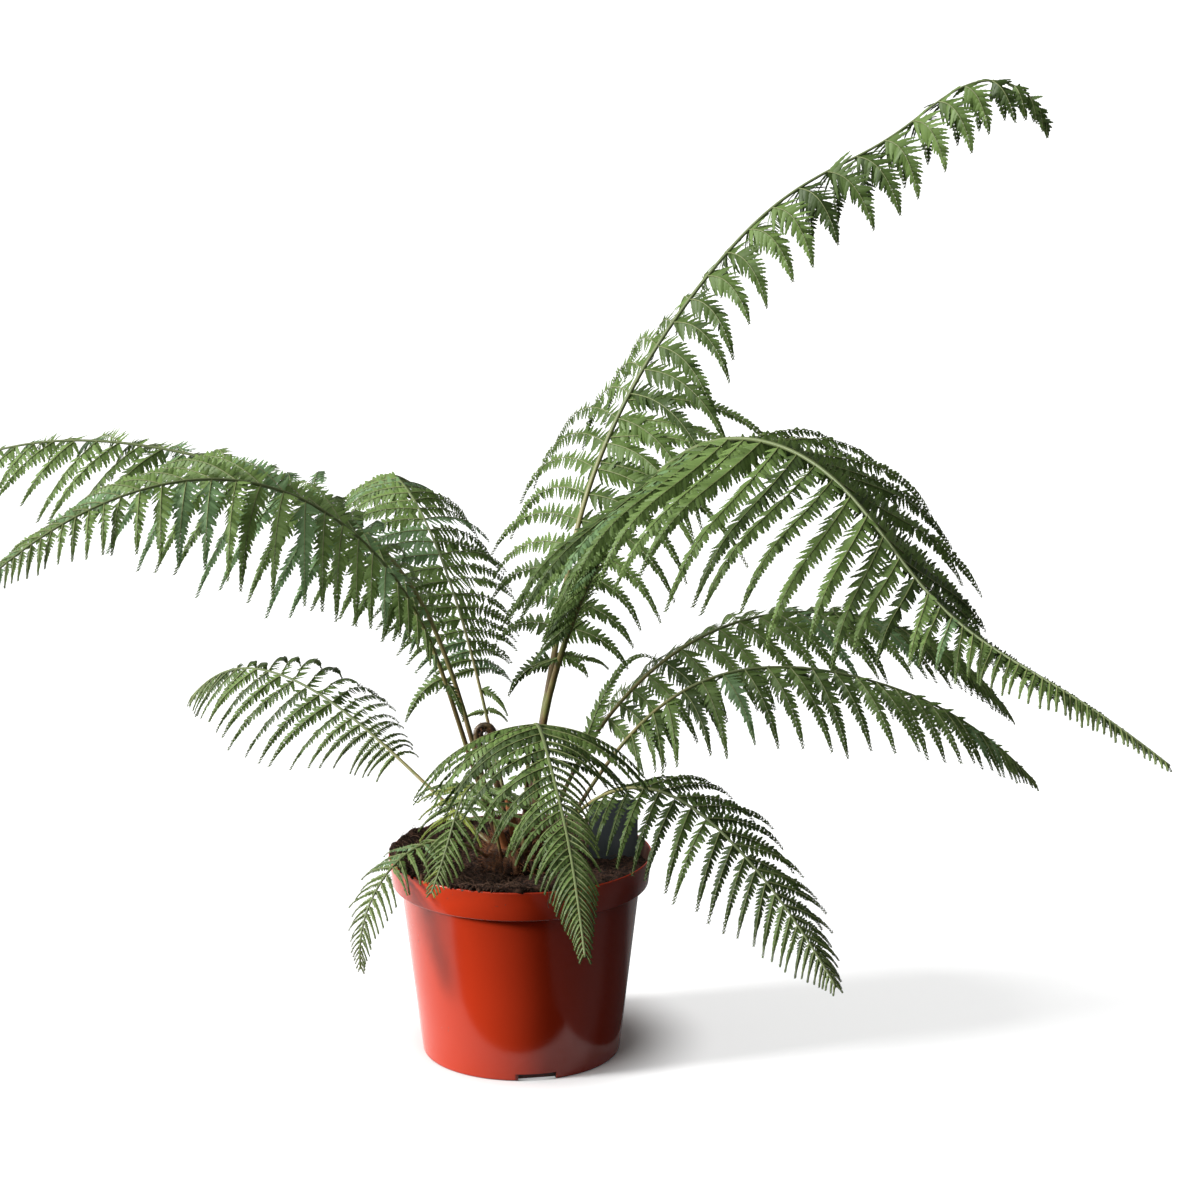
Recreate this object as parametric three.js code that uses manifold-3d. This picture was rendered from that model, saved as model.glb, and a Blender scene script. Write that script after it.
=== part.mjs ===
// A young soft tree fern in a round plastic nursery pot.
// Millimetres and degrees. +Z is up, the origin is the middle of the pot's flat underside,
// and the photograph looks along +Y with +X to its right.
import * as THREE from "three";
import { mergeVertices } from "three/addons/utils/BufferGeometryUtils.js";
import Module from "manifold-3d";

const wasm = await Module();
wasm.setup();

// Clearance left between neighbouring solids, and the least that a leaflet keeps
const CLEAR = 0.35;
const CLEAR_LEAST = 0.33;

// Pot
const POT_HEIGHT = 147;
const POT_BASE_RADIUS = 71.6;
const POT_NECK_RADIUS = 86;
const POT_RIM_RADIUS = 95;
const RIM_BAND_HEIGHT = 21.5;
const RIM_FOOT_RADIUS = 92.2;
const POT_WALL = 1.8;
const POT_FLOOR = 3;
const POT_EDGE = 1.2;
const POT_SEGMENTS = 44;
const NOTCH_WIDTH = 27;
const NOTCH_HEIGHT = 5;
const NOTCH_DEPTH = 6;
const NOTCH_COUNT = 3;
const NOTCH_FIRST_ANGLE = -79.5;

// Soil and the short crown that carries the fronds
const SOIL_EDGE_HEIGHT = 131;
const SOIL_TOP_HEIGHT = 137;
const SOIL_HEAP_RADIUS = 42;
const CROWN_RADIUS = 26;
const CROWN_HEIGHT = 30;
const CROWN_SEGMENTS = 16;
const CROWN_FOOT = SOIL_TOP_HEIGHT + CLEAR;
const CROWN_RINGS = 6;
const SEAT_DEPTH = 4;
const STUB_RADIUS = 2.6;
const STUB_FOOT_RADIUS = 3.2;
const STUBS = [
  { seat: [250, 28], lean: [-0.15, -0.2, 1], length: 36 },
  { seat: [235, 52], lean: [-0.35, -0.25, 1], length: 27 },
  { seat: [70, 60], lean: [0.3, 0.7, 1], length: 18 },
];

// Bare plant label standing in the soil
const LABEL_WIDTH = 36;
const LABEL_HEIGHT = 52;
const LABEL_THICKNESS = 1;
const LABEL_SINK = 3;
const LABEL_PLACE = [67, 19];
const LABEL_TURN = 8;

// Crozier, a coiled young frond
const CROZIER_SEAT = [190, 20];
const CROZIER_NECK = [-31, -4, 232];
const CROZIER_STALK_RADIUS = 2.3;
const CROZIER_TIP_RADIUS = 1.3;
const COIL_OUTER_RADIUS = 7.4;
const COIL_INNER_RADIUS = 2.3;
const COIL_FOOT_RADIUS = 2;
const COIL_TURNS = 1.35;
const COIL_LIFT = 4;
const COIL_STEPS = 16;
const CROZIER_BOW = 3;
const CROZIER_RISE_STEPS = 6;

// Fronds. Each rib leaves the crown at seat = [azimuth, angle from the top of the dome].
// heading is the way it grows over the ground and swing how far that turns by the tip;
// climb lists its slope at even stations from crown to tip. share is the bare stalk's part
// of the length, pairs the number of leaflet pairs on the rest, and leaflets their lengths at
// even stations from the lowest pair to the tip. angle and tipAngle are the lowest and the highest
// pair's angles with the rib where they are not the usual ones. droop lists how hard a leaflet
// bends to the ground from its root to its tip, and tipDroop the same for the highest pair where
// it differs. roll lists the blade's turn about its rib from crown to tip, pieces is the number of
// solids along the blade, and stem the radius of the stalk's foot.
const FRONDS = {
  tall: {
    seat: [70, 25], heading: 50, swing: -50, length: 743, climb: [77, 76, 77, 64, 53, 44, 25, 32, -69],
    share: 0.2, leaflets: [60, 100, 110, 64, 62, 58, 47, 13], pairs: 23,
    droop: [0.1, 0.4, 1], tipDroop: [0.4, 2, 3.4], roll: [-30, -20, 0, 0], pieces: 2, stem: 2.6,
  },
  right_arch: {
    seat: [-40, 42], heading: -65, swing: 26, length: 798, climb: [91, 66, 54, 37, -2, -41, -19, -28],
    share: 0.22, leaflets: [35, 50, 165, 148, 138, 58, 27, 8], pairs: 26,
    angle: 95, tipAngle: 58, droop: [0.45, 0.35, 0.85], roll: [3, -12, 7, 22], pieces: 2, stem: 2.6,
  },
  left_front: {
    seat: [215, 48], heading: 205, swing: 12, length: 575, climb: [70, 70, 36, -9, -36],
    share: 0.27, leaflets: [34, 76, 100, 94, 70, 42, 24, 6], pairs: 20,
    droop: [0.2, 0.8, 1.4], roll: [25, 20, 10], pieces: 2, stem: 2,
  },
  left_back: {
    seat: [165, 48], heading: 168, swing: 5, length: 602, climb: [76, 68, 24, 2, -28],
    share: 0.28, leaflets: [36, 76, 104, 104, 90, 64, 40, 8], pairs: 20,
    droop: [0.35, 0.7, 1], roll: [15, 10, 5], pieces: 2, stem: 2,
  },
  back: {
    seat: [110, 45], heading: 122, swing: -18, length: 447, climb: [64, 59, 36, 5, -39],
    share: 0.28, leaflets: [35, 60, 74, 76, 70, 58, 40, 8], pairs: 16,
    droop: [0.2, 0.6, 1.1], roll: [0, 0], pieces: 1, stem: 1.3,
  },
  right_back: {
    seat: [40, 70], heading: 30, swing: 0, length: 525, climb: [69, 39, 1, -24, -51],
    share: 0.2, leaflets: [60, 75, 78, 76, 70, 58, 38, 8], pairs: 21,
    droop: [0.35, 0.8, 1.3], roll: [0, 0], pieces: 2, stem: 1.6,
  },
  right_mid: {
    seat: [0, 75], heading: 3, swing: 6, length: 446, climb: [62, 47, 0, -25, -47],
    share: 0.24, leaflets: [45, 66, 72, 72, 64, 50, 32, 8], pairs: 20,
    droop: [0.35, 0.9, 1.4], roll: [0, 0], pieces: 2, stem: 1.6,
  },
  left_low: {
    seat: [140, 75], heading: 135, swing: 2, length: 382, climb: [21, 25, 18, -4, -42],
    share: 0.32, leaflets: [24, 42, 68, 74, 68, 52, 34, 8], pairs: 13,
    droop: [0.2, 0.6, 1.1], roll: [28, 28], pieces: 1, stem: 1.5,
  },
  front: {
    seat: [-80, 60], heading: -86, swing: 4, length: 500, climb: [63, 40, 0, -11, -39],
    share: 0.22, leaflets: [75, 96, 94, 80, 58, 42, 24, 6], pairs: 22,
    droop: [0.1, 0.6, 1.3], roll: [0, 0], pieces: 2, stem: 1.7,
  },
  front_small: {
    seat: [-125, 78], heading: -112, swing: 0, length: 185, climb: [70, 55, -45, -40],
    share: 0.22, leaflets: [34, 44, 46, 40, 32, 24, 15, 5], pairs: 8,
    droop: [0.1, 0.3, 0.6], roll: [0, 0], pieces: 1, stem: 1.1,
  },
  left_rim: {
    seat: [-160, 80], heading: -150, swing: 21, length: 171, climb: [45, 13, -29, -62, -95],
    share: 0.3, leaflets: [24, 32, 32, 28, 24, 18, 12, 5], pairs: 8,
    droop: [0.1, 0.3, 0.6], roll: [0, 0], pieces: 1, stem: 1.1,
  },
  right_low: {
    seat: [-30, 77], heading: -35, swing: -16, length: 327, climb: [64, 28, -19, -36, -43],
    share: 0.22, leaflets: [44, 62, 68, 64, 54, 42, 27, 7], pairs: 17,
    droop: [0.2, 0.5, 0.9], roll: [-20, -20], pieces: 2, stem: 1.5,
  },
};
const RIB_STATIONS = 30;
const RIB_SHORTEST_STEP = 0.2;
const STALK_SIDES = 5;
const RIB_TIP_RADIUS = 0.6;
const BLADE_LEAD = 6;
const BLADE_CUT = 0.42;
const LEAFLET_WIDTH = 13;
const LEAFLET_WIDTH_OF_SPACING = 0.85;
const LEAFLET_WIDTH_OF_LENGTH = 0.3;
const LEAFLET_FOOT = 4;
const LEAFLET_FOOT_OF_SPACING = 0.4;
const LEAFLET_LEAST = 7;
const LEAFLET_LONG = 45;
const LEAFLET_STEPS = 12;
const LONG_LEAFLET_RINGS = [{ step: 4, wide: 1 }, { step: 9, wide: 0.6 }];
const SHORT_LEAFLET_RINGS = [{ step: 5, wide: 1 }];
const LEAFLET_THINNEST = 0.8;
const LEAFLET_THICKNESS_SHARE = 0.012;
const LEAFLET_ROOT_ANGLE = 82;
const LEAFLET_TIP_ANGLE = 40;
const LIGHT_TURN = 0.6;
const LEAFLET_CROWDING = 1.2;
const LEAFLET_TRIES = [1, 0.8, 0.6, 0.42];

// Colours
const POT_COLOUR = 0xd8502e;
const SOIL_COLOUR = 0x2c2019;
const CROWN_COLOUR = 0x4a2f1c;
const LABEL_COLOUR = 0x39424d;
const CROZIER_COLOUR = 0x5a3620;
const STALK_COLOUR = 0x7a6a35;
const LEAF_COLOUR = 0x4f7a2a;

const radians = THREE.MathUtils.degToRad;
const up = new THREE.Vector3(0, 0, 1);
const lightSide = new THREE.Vector3(-0.4, -0.8, 0.45);

// Solids and meshes
function solidOf(geometry) {
  const bare = new THREE.BufferGeometry();
  bare.setAttribute("position", geometry.getAttribute("position"));
  if (geometry.index) bare.setIndex(geometry.index);
  const merged = mergeVertices(bare, 1e-4);
  const vertProperties = new Float32Array(merged.attributes.position.array);
  const triVerts = withoutSlivers(merged.index.array);
  const made = new wasm.Manifold(new wasm.Mesh({ numProp: 3, vertProperties, triVerts }));
  if (made.volume() > 0) return made;
  const turned = triVerts.slice();
  for (let i = 0; i < turned.length; i += 3) {
    turned[i + 1] = triVerts[i + 2];
    turned[i + 2] = triVerts[i + 1];
  }
  return new wasm.Manifold(new wasm.Mesh({ numProp: 3, vertProperties, triVerts: turned }));
}

function withoutSlivers(index) {
  const kept = [];
  for (let i = 0; i < index.length; i += 3) {
    const [a, b, c] = [index[i], index[i + 1], index[i + 2]];
    if (a !== b && b !== c && a !== c) kept.push(a, b, c);
  }
  return new Uint32Array(kept);
}

function meshOf(name, solid, colour, roughness) {
  const { vertProperties, triVerts, numProp } = solid.getMesh();
  const places = [];
  for (let i = 0; i < vertProperties.length; i += numProp) {
    places.push(vertProperties[i], vertProperties[i + 1], vertProperties[i + 2]);
  }
  const geometry = new THREE.BufferGeometry();
  geometry.setAttribute("position", new THREE.Float32BufferAttribute(places, 3));
  geometry.setIndex(Array.from(triVerts));
  geometry.computeVertexNormals();
  const material = new THREE.MeshStandardMaterial({ color: colour, roughness, metalness: 0 });
  const mesh = new THREE.Mesh(geometry, material);
  mesh.name = name;
  return mesh;
}

function lathed(profile, segments) {
  const points = profile.map(([r, z]) => new THREE.Vector2(r, z));
  const geometry = new THREE.LatheGeometry(points, segments);
  geometry.rotateX(Math.PI / 2);
  return solidOf(geometry);
}

function boxAt(size, matrix) {
  const geometry = new THREE.BoxGeometry(...size);
  geometry.applyMatrix4(matrix);
  return solidOf(geometry);
}

// A closed skin over rings of points, flat at its start and ending flat or in one point
function lofted(rings, tip) {
  const places = [];
  const index = [];
  const sides = rings[0].length;
  rings.flat().forEach((p) => places.push(p.x, p.y, p.z));
  for (let r = 0; r + 1 < rings.length; r += 1) {
    for (let i = 0; i < sides; i += 1) {
      const a = r * sides + i;
      const b = r * sides + ((i + 1) % sides);
      index.push(a, b, b + sides, a, b + sides, a + sides);
    }
  }
  const last = (rings.length - 1) * sides;
  for (let i = 1; i + 1 < sides; i += 1) {
    index.push(0, i + 1, i);
    if (!tip) index.push(last, last + i, last + i + 1);
  }
  if (tip) {
    places.push(tip.x, tip.y, tip.z);
    const end = places.length / 3 - 1;
    for (let i = 0; i < sides; i += 1) index.push(last + i, last + ((i + 1) % sides), end);
  }
  const geometry = new THREE.BufferGeometry();
  geometry.setAttribute("position", new THREE.Float32BufferAttribute(places, 3));
  geometry.setIndex(index);
  return solidOf(geometry);
}

// A round stem through stations that each hold a place, a side, a normal and a radius
function stem(stations, sides) {
  const rings = stations.map(({ place, side, normal, radius }) => {
    const ring = [];
    for (let i = 0; i < sides; i += 1) {
      const turn = (2 * Math.PI * i) / sides;
      const out = side.clone().multiplyScalar(radius * Math.cos(turn));
      out.addScaledVector(normal, radius * Math.sin(turn));
      ring.push(out.add(place));
    }
    return ring;
  });
  return lofted(rings, null);
}

function largestBody(solid) {
  const bodies = solid.decompose();
  return bodies.reduce((best, body) => (body.volume() > best.volume() ? body : best));
}

// Pot: tapered wall, outward rim band, drain notches at the foot
function makePot() {
  const neck = POT_HEIGHT - RIM_BAND_HEIGHT;
  const profile = [
    [0, 0],
    [POT_BASE_RADIUS - POT_EDGE, 0],
    [POT_BASE_RADIUS, POT_EDGE],
    [POT_NECK_RADIUS, neck - POT_EDGE],
    [RIM_FOOT_RADIUS, neck],
    [POT_RIM_RADIUS, POT_HEIGHT - POT_EDGE],
    [POT_RIM_RADIUS - POT_WALL / 2, POT_HEIGHT],
    [POT_RIM_RADIUS - POT_WALL, POT_HEIGHT - POT_EDGE / 2],
    [RIM_FOOT_RADIUS - POT_WALL, neck + POT_WALL],
    [POT_NECK_RADIUS - POT_WALL, neck],
    [POT_BASE_RADIUS - POT_WALL, POT_FLOOR],
    [0, POT_FLOOR],
  ];
  let pot = lathed(profile, POT_SEGMENTS);
  for (let i = 0; i < NOTCH_COUNT; i += 1) {
    const turn = radians(NOTCH_FIRST_ANGLE + (360 * i) / NOTCH_COUNT);
    const place = new THREE.Matrix4().makeRotationZ(turn);
    place.multiply(new THREE.Matrix4().makeTranslation(POT_BASE_RADIUS, 0, 0));
    pot = pot.subtract(boxAt([2 * NOTCH_DEPTH, NOTCH_WIDTH, 2 * NOTCH_HEIGHT], place));
  }
  return pot;
}

// Soil: fills the pot and is a little heaped round the crown
function makeSoil(labelSlot) {
  const neck = POT_HEIGHT - RIM_BAND_HEIGHT;
  const inside = POT_WALL + 2 * CLEAR;
  const profile = [
    [0, POT_FLOOR + CLEAR],
    [POT_BASE_RADIUS - inside, POT_FLOOR + CLEAR],
    [POT_NECK_RADIUS - inside, neck + CLEAR],
    [RIM_FOOT_RADIUS - inside, neck + POT_WALL + CLEAR],
    [RIM_FOOT_RADIUS - inside, SOIL_EDGE_HEIGHT],
    [SOIL_HEAP_RADIUS, SOIL_TOP_HEIGHT],
    [0, SOIL_TOP_HEIGHT],
  ];
  return lathed(profile, POT_SEGMENTS).subtract(labelSlot);
}

// Crown: a low dome with the cut stumps of old stalks
function domeProfile(grown) {
  const profile = [[0, CROWN_FOOT - grown]];
  for (let i = 0; i <= CROWN_RINGS; i += 1) {
    const angle = (Math.PI / 2) * (1 - i / CROWN_RINGS);
    const radius = (CROWN_RADIUS + grown) * Math.sin(angle);
    profile.push([i === CROWN_RINGS ? 0 : radius, CROWN_FOOT + (CROWN_HEIGHT + grown) * Math.cos(angle)]);
  }
  return profile;
}

function domePlace([azimuth, polar], depth) {
  const around = radians(azimuth);
  const down = radians(polar);
  const flat = (CROWN_RADIUS - depth) * Math.sin(down);
  const high = CROWN_FOOT + (CROWN_HEIGHT - depth) * Math.cos(down);
  return new THREE.Vector3(flat * Math.cos(around), flat * Math.sin(around), high);
}

function makeCrown() {
  let crown = lathed(domeProfile(0), CROWN_SEGMENTS);
  STUBS.forEach(({ seat, lean, length }) => {
    const along = new THREE.Vector3(...lean).normalize();
    const side = along.clone().cross(up).normalize();
    const normal = side.clone().cross(along);
    const foot = domePlace(seat, SEAT_DEPTH);
    const head = foot.clone().addScaledVector(along, length);
    const ends = [
      { place: foot, side, normal, radius: STUB_FOOT_RADIUS },
      { place: head, side, normal, radius: STUB_RADIUS },
    ];
    crown = crown.add(stem(ends, STALK_SIDES));
  });
  return crown;
}

// Label: a bare flat card, its lower part in a slot in the soil
function labelMatrix() {
  const [x, y] = LABEL_PLACE;
  const middle = SOIL_EDGE_HEIGHT + LABEL_HEIGHT / 2 - LABEL_SINK;
  const place = new THREE.Matrix4().makeTranslation(x, y, middle);
  return place.multiply(new THREE.Matrix4().makeRotationZ(radians(LABEL_TURN)));
}

function makeLabel(grown) {
  const size = [LABEL_WIDTH + 2 * grown, LABEL_THICKNESS + 2 * grown, LABEL_HEIGHT + 2 * grown];
  return boxAt(size, labelMatrix());
}

// Crozier: a stalk that ends in a flat coil
function makeCrozier() {
  const foot = domePlace(CROZIER_SEAT, SEAT_DEPTH);
  const neck = new THREE.Vector3(...CROZIER_NECK);
  const side = new THREE.Vector3(0, -1, 0);
  const stations = [];
  for (let i = 0; i <= CROZIER_RISE_STEPS; i += 1) {
    const share = i / CROZIER_RISE_STEPS;
    const place = foot.clone().lerp(neck, share);
    place.x += CROZIER_BOW * Math.sin(Math.PI * share);
    stations.push({ place, radius: CROZIER_STALK_RADIUS });
  }
  const centre = neck.clone().add(new THREE.Vector3(COIL_OUTER_RADIUS, 0, COIL_LIFT));
  for (let i = 0; i <= COIL_STEPS; i += 1) {
    const share = i / COIL_STEPS;
    const turn = Math.PI - 2 * Math.PI * COIL_TURNS * share;
    const reach = THREE.MathUtils.lerp(COIL_OUTER_RADIUS, COIL_INNER_RADIUS, share);
    const place = centre.clone();
    place.x += reach * Math.cos(turn);
    place.z += reach * Math.sin(turn);
    stations.push({ place, radius: THREE.MathUtils.lerp(COIL_FOOT_RADIUS, CROZIER_TIP_RADIUS, share) });
  }
  stations.forEach((station, i) => {
    const before = stations[Math.max(i - 1, 0)].place;
    const after = stations[Math.min(i + 1, stations.length - 1)].place;
    const along = after.clone().sub(before).normalize();
    station.side = side;
    station.normal = side.clone().cross(along).normalize();
  });
  return largestBody(stem(stations, STALK_SIDES).subtract(lathed(domeProfile(CLEAR), CROWN_SEGMENTS)));
}

// Rib of a frond: evenly spaced stations with place, direction, side and upper normal
function keyed(keys, t) {
  const last = keys.length - 1;
  const x = Math.min(Math.max(t * last, 0), last - 1e-9);
  const i = Math.floor(x);
  const f = x - i;
  const key = (j) => keys[Math.min(Math.max(j, 0), last)];
  const [a, b, c, d] = [key(i - 1), key(i), key(i + 1), key(i + 2)];
  const linear = (c - a) * f;
  const square = (2 * a - 5 * b + 4 * c - d) * f * f;
  const cube = (3 * b - a - 3 * c + d) * f * f * f;
  return 0.5 * (2 * b + linear + square + cube);
}

function ribStation(frond, place, t) {
  const slope = radians(keyed(frond.climb, t));
  const heading = radians(frond.heading + frond.swing * t);
  const along = new THREE.Vector3(
    Math.cos(slope) * Math.cos(heading),
    Math.cos(slope) * Math.sin(heading),
    Math.sin(slope),
  );
  const level = new THREE.Vector3(Math.sin(heading), -Math.cos(heading), 0);
  const upright = level.clone().cross(along);
  const roll = radians(keyed(frond.roll, t));
  const side = level.clone().multiplyScalar(Math.cos(roll)).addScaledVector(upright, Math.sin(roll));
  const normal = side.clone().cross(along);
  const radius = THREE.MathUtils.lerp(frond.stem, RIB_TIP_RADIUS, t);
  return { t, place: place.clone(), along, side, normal, radius };
}

function ribOf(frond) {
  const step = frond.length / RIB_STATIONS;
  const place = domePlace(frond.seat, SEAT_DEPTH);
  const rib = [ribStation(frond, place, 0)];
  for (let i = 1; i <= RIB_STATIONS; i += 1) {
    const middle = ribStation(frond, place, (i - 0.5) / RIB_STATIONS);
    place.addScaledVector(middle.along, step);
    rib.push(ribStation(frond, place, i / RIB_STATIONS));
  }
  return rib;
}

function ribAt(rib, t) {
  const x = Math.min(Math.max(t, 0), 1) * RIB_STATIONS;
  const i = Math.min(Math.floor(x), RIB_STATIONS - 1);
  const f = x - i;
  const [a, b] = [rib[i], rib[i + 1]];
  return {
    t,
    place: a.place.clone().lerp(b.place, f),
    along: a.along.clone().lerp(b.along, f).normalize(),
    side: a.side.clone().lerp(b.side, f).normalize(),
    normal: a.normal.clone().lerp(b.normal, f).normalize(),
    radius: a.radius + (b.radius - a.radius) * f,
  };
}

function ribStem(rib, from, to, sides) {
  const margin = RIB_SHORTEST_STEP / RIB_STATIONS;
  const between = rib.filter(({ t }) => t > from + margin && t < to - margin);
  return stem([ribAt(rib, from), ...between, ribAt(rib, to)], sides);
}

// Leaflet: a thin blade that grows out of one side of the rib, widens, droops and ends in a point
function leafletDirection(frond, start, u, share) {
  const low = keyed(frond.droop, share);
  const high = frond.tipDroop ? keyed(frond.tipDroop, share) : low;
  return start.clone().addScaledVector(up, -THREE.MathUtils.lerp(low, high, u)).normalize();
}

function leafletRings(frond, root, u, hand, length, width) {
  const rootAngle = frond.angle ?? LEAFLET_ROOT_ANGLE;
  const tipAngle = frond.tipAngle ?? LEAFLET_TIP_ANGLE;
  const angle = radians(THREE.MathUtils.lerp(rootAngle, tipAngle, u));
  const start = root.along.clone().multiplyScalar(Math.cos(angle));
  start.addScaledVector(root.side, hand * Math.sin(angle));
  const wanted = length > LEAFLET_LONG ? LONG_LEAFLET_RINGS : SHORT_LEAFLET_RINGS;
  const thickness = Math.max(LEAFLET_THINNEST, LEAFLET_THICKNESS_SHARE * length);
  const place = root.place.clone().addScaledVector(root.side, hand * root.radius);
  const facing = root.normal.clone().lerp(lightSide, LIGHT_TURN);
  const rings = [];
  let before = root.normal;
  for (let i = 1; i <= LEAFLET_STEPS; i += 1) {
    const along = leafletDirection(frond, start, u, (i - 0.5) / LEAFLET_STEPS);
    place.addScaledVector(along, length / LEAFLET_STEPS);
    const ring = wanted.find(({ step }) => step === i);
    if (!ring) continue;
    const normal = facing.clone().addScaledVector(along, -facing.dot(along)).normalize();
    if (normal.dot(before) < 0) normal.negate();
    before = normal;
    const front = normal.clone().cross(along).multiplyScalar(hand);
    rings.push(leafletCorners(place, front, normal, hand, 0.5 * width * ring.wide, 0.5 * thickness));
  }
  return { rings, tip: place };
}

// Four corners in the order in which the rib's own side face runs
function leafletCorners(place, front, normal, hand, wide, thick) {
  const corner = (ahead, over) => {
    return place.clone().addScaledVector(front, ahead * wide).addScaledVector(normal, over * thick);
  };
  const over = -hand;
  return [corner(-1, over), corner(1, over), corner(1, -over), corner(-1, -over)];
}

function leafletRoots(frond) {
  const roots = [];
  const reach = (i) => 1 - Math.pow(1 - i / frond.pairs, LEAFLET_CROWDING);
  const blade = (1 - frond.share) * frond.length;
  for (let i = 0; i < frond.pairs; i += 1) {
    const u = reach(i);
    const spacing = (reach(i + 1) - u) * blade;
    const width = Math.min(LEAFLET_WIDTH, LEAFLET_WIDTH_OF_SPACING * spacing);
    const foot = Math.min(LEAFLET_FOOT, LEAFLET_FOOT_OF_SPACING * spacing);
    const half = (0.5 * foot) / frond.length;
    const t = frond.share + (1 - frond.share) * u;
    roots.push({ u, t, width, half, leaflets: {} });
  }
  return roots;
}

// Blade: one skin over the rib and the leaflets that grow from its sides
function ribRing({ place, side, normal, radius }) {
  const corner = (across, over) => {
    return place.clone().addScaledVector(side, across * radius).addScaledVector(normal, over * radius);
  };
  return [corner(1, 1), corner(-1, 1), corner(-1, -1), corner(1, -1)];
}

function rootRing(frond, root, hand) {
  const back = ribRing(ribAt(frond.rib, root.t - root.half));
  const front = ribRing(ribAt(frond.rib, root.t + root.half));
  if (hand < 0) return [back[1], front[1], front[2], back[2]];
  return [back[3], front[3], front[0], back[0]];
}

function bladeSolid(frond, blade) {
  const places = [];
  const index = [];
  const add = (p) => places.push(p.x, p.y, p.z) / 3 - 1;
  const quad = (a, b, c, d) => index.push(a, b, c, a, c, d);
  // A leaflet's two broad faces are split along the same diagonal, so a twist can't bring them together
  const grow = (foot, { rings, tip }) => {
    let ring = foot;
    rings.forEach((next) => {
      const ids = next.map(add);
      quad(ring[0], ring[1], ids[1], ids[0]);
      quad(ring[1], ring[2], ids[2], ids[1]);
      quad(ring[3], ids[3], ids[2], ring[2]);
      quad(ring[3], ring[0], ids[0], ids[3]);
      ring = ids;
    });
    const end = add(tip);
    ring.forEach((a, j) => index.push(a, ring[(j + 1) % 4], end));
  };
  const join = (back, front, leaflets) => {
    const sideFaces = { 1: leaflets[-1], 3: leaflets[1] };
    for (let k = 0; k < 4; k += 1) {
      const face = [back[k], front[k], front[(k + 1) % 4], back[(k + 1) % 4]];
      const leaflet = sideFaces[k];
      if (leaflet) grow(face, leaflet);
      else quad(...face);
    }
  };
  let behind = ribRing(ribAt(frond.rib, blade.from)).map(add);
  quad(...behind);
  blade.roots.forEach((root) => {
    const back = ribRing(ribAt(frond.rib, root.t - root.half)).map(add);
    const front = ribRing(ribAt(frond.rib, root.t + root.half)).map(add);
    join(behind, back, {});
    join(back, front, root.leaflets);
    behind = front;
  });
  const end = ribRing(ribAt(frond.rib, blade.to)).map(add);
  join(behind, end, {});
  quad(end[3], end[2], end[1], end[0]);
  const geometry = new THREE.BufferGeometry();
  geometry.setAttribute("position", new THREE.Float32BufferAttribute(places, 3));
  geometry.setIndex(index);
  return solidOf(geometry);
}

// The blade's cut lies midway between two leaflet pairs, and each piece keeps its own pairs
function bladesOf(name, frond) {
  const roots = leafletRoots(frond);
  const start = roots[0].t - BLADE_LEAD / frond.length;
  const joint = CLEAR / frond.length;
  if (frond.pieces === 1) return [{ node: `${name}_blade`, from: start, to: 1, roots }];
  const last = roots.findLastIndex(({ u }) => u < BLADE_CUT);
  const cut = 0.5 * (roots[last].t + roots[last + 1].t);
  return [
    { node: `${name}_inner`, from: start, to: cut - joint, roots: roots.slice(0, last + 1) },
    { node: `${name}_outer`, from: cut, to: 1, roots: roots.slice(last + 1) },
  ];
}

// Assembly. Solids are kept with their boxes, so that a leaflet is tried only against what is near it
const placed = [];

function place(node, solid) {
  placed.push({ node, solid, box: solid.boundingBox() });
}

function boxesApart(a, b) {
  return [0, 1, 2].some((k) => a.min[k] > b.max[k] + CLEAR || b.min[k] > a.max[k] + CLEAR);
}

function isClear(node, solid) {
  const box = solid.boundingBox();
  const near = placed.filter((other) => other.node !== node && !boxesApart(box, other.box));
  return near.every((other) => solid.minGap(other.solid, 1) >= CLEAR_LEAST);
}

const labelSolid = makeLabel(0);
const soilSolid = makeSoil(makeLabel(CLEAR));
const potSolid = makePot();
const crownSolid = makeCrown();
const crozierSolid = makeCrozier();
place("label", labelSolid);
place("soil", soilSolid);
place("pot", potSolid);
place("crown", crownSolid);
place("crozier", crozierSolid);

// Every stalk and rib is laid before any leaflet, so that leaflets give way to ribs
const crownRoom = lathed(domeProfile(CLEAR), CROWN_SEGMENTS);
Object.entries(FRONDS).forEach(([name, frond]) => {
  frond.rib = ribOf(frond);
  frond.blades = bladesOf(name, frond);
  const stalkEnd = frond.blades[0].from - CLEAR / frond.length;
  const stalk = ribStem(frond.rib, 0, stalkEnd, STALK_SIDES).subtract(crownRoom);
  frond.stalk = largestBody(stalk);
  place(`${name}_stalk`, frond.stalk);
  frond.blades.forEach((blade) => place(blade.node, bladeSolid(frond, blade)));
});

// A leaflet that would touch anything is tried shorter, and left out where even that touches
function growLeaflet(frond, blade, root, hand) {
  const full = keyed(frond.leaflets, root.u);
  const foot = rootRing(frond, root, hand);
  const from = ribAt(frond.rib, root.t);
  const lengths = LEAFLET_TRIES.map((share) => share * full).filter((length) => length > LEAFLET_LEAST);
  for (const length of lengths) {
    const width = Math.min(root.width, LEAFLET_WIDTH_OF_LENGTH * length);
    const leaflet = leafletRings(frond, from, root.u, hand, length, width);
    const solid = lofted([foot, ...leaflet.rings], leaflet.tip);
    if (!isClear(blade.node, solid)) continue;
    root.leaflets[hand] = leaflet;
    place(`${blade.node} leaflet`, solid);
    return;
  }
}

Object.values(FRONDS).forEach((frond) => {
  frond.blades.forEach((blade) => {
    blade.roots.forEach((root) => [1, -1].forEach((hand) => growLeaflet(frond, blade, root, hand)));
  });
});

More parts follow.
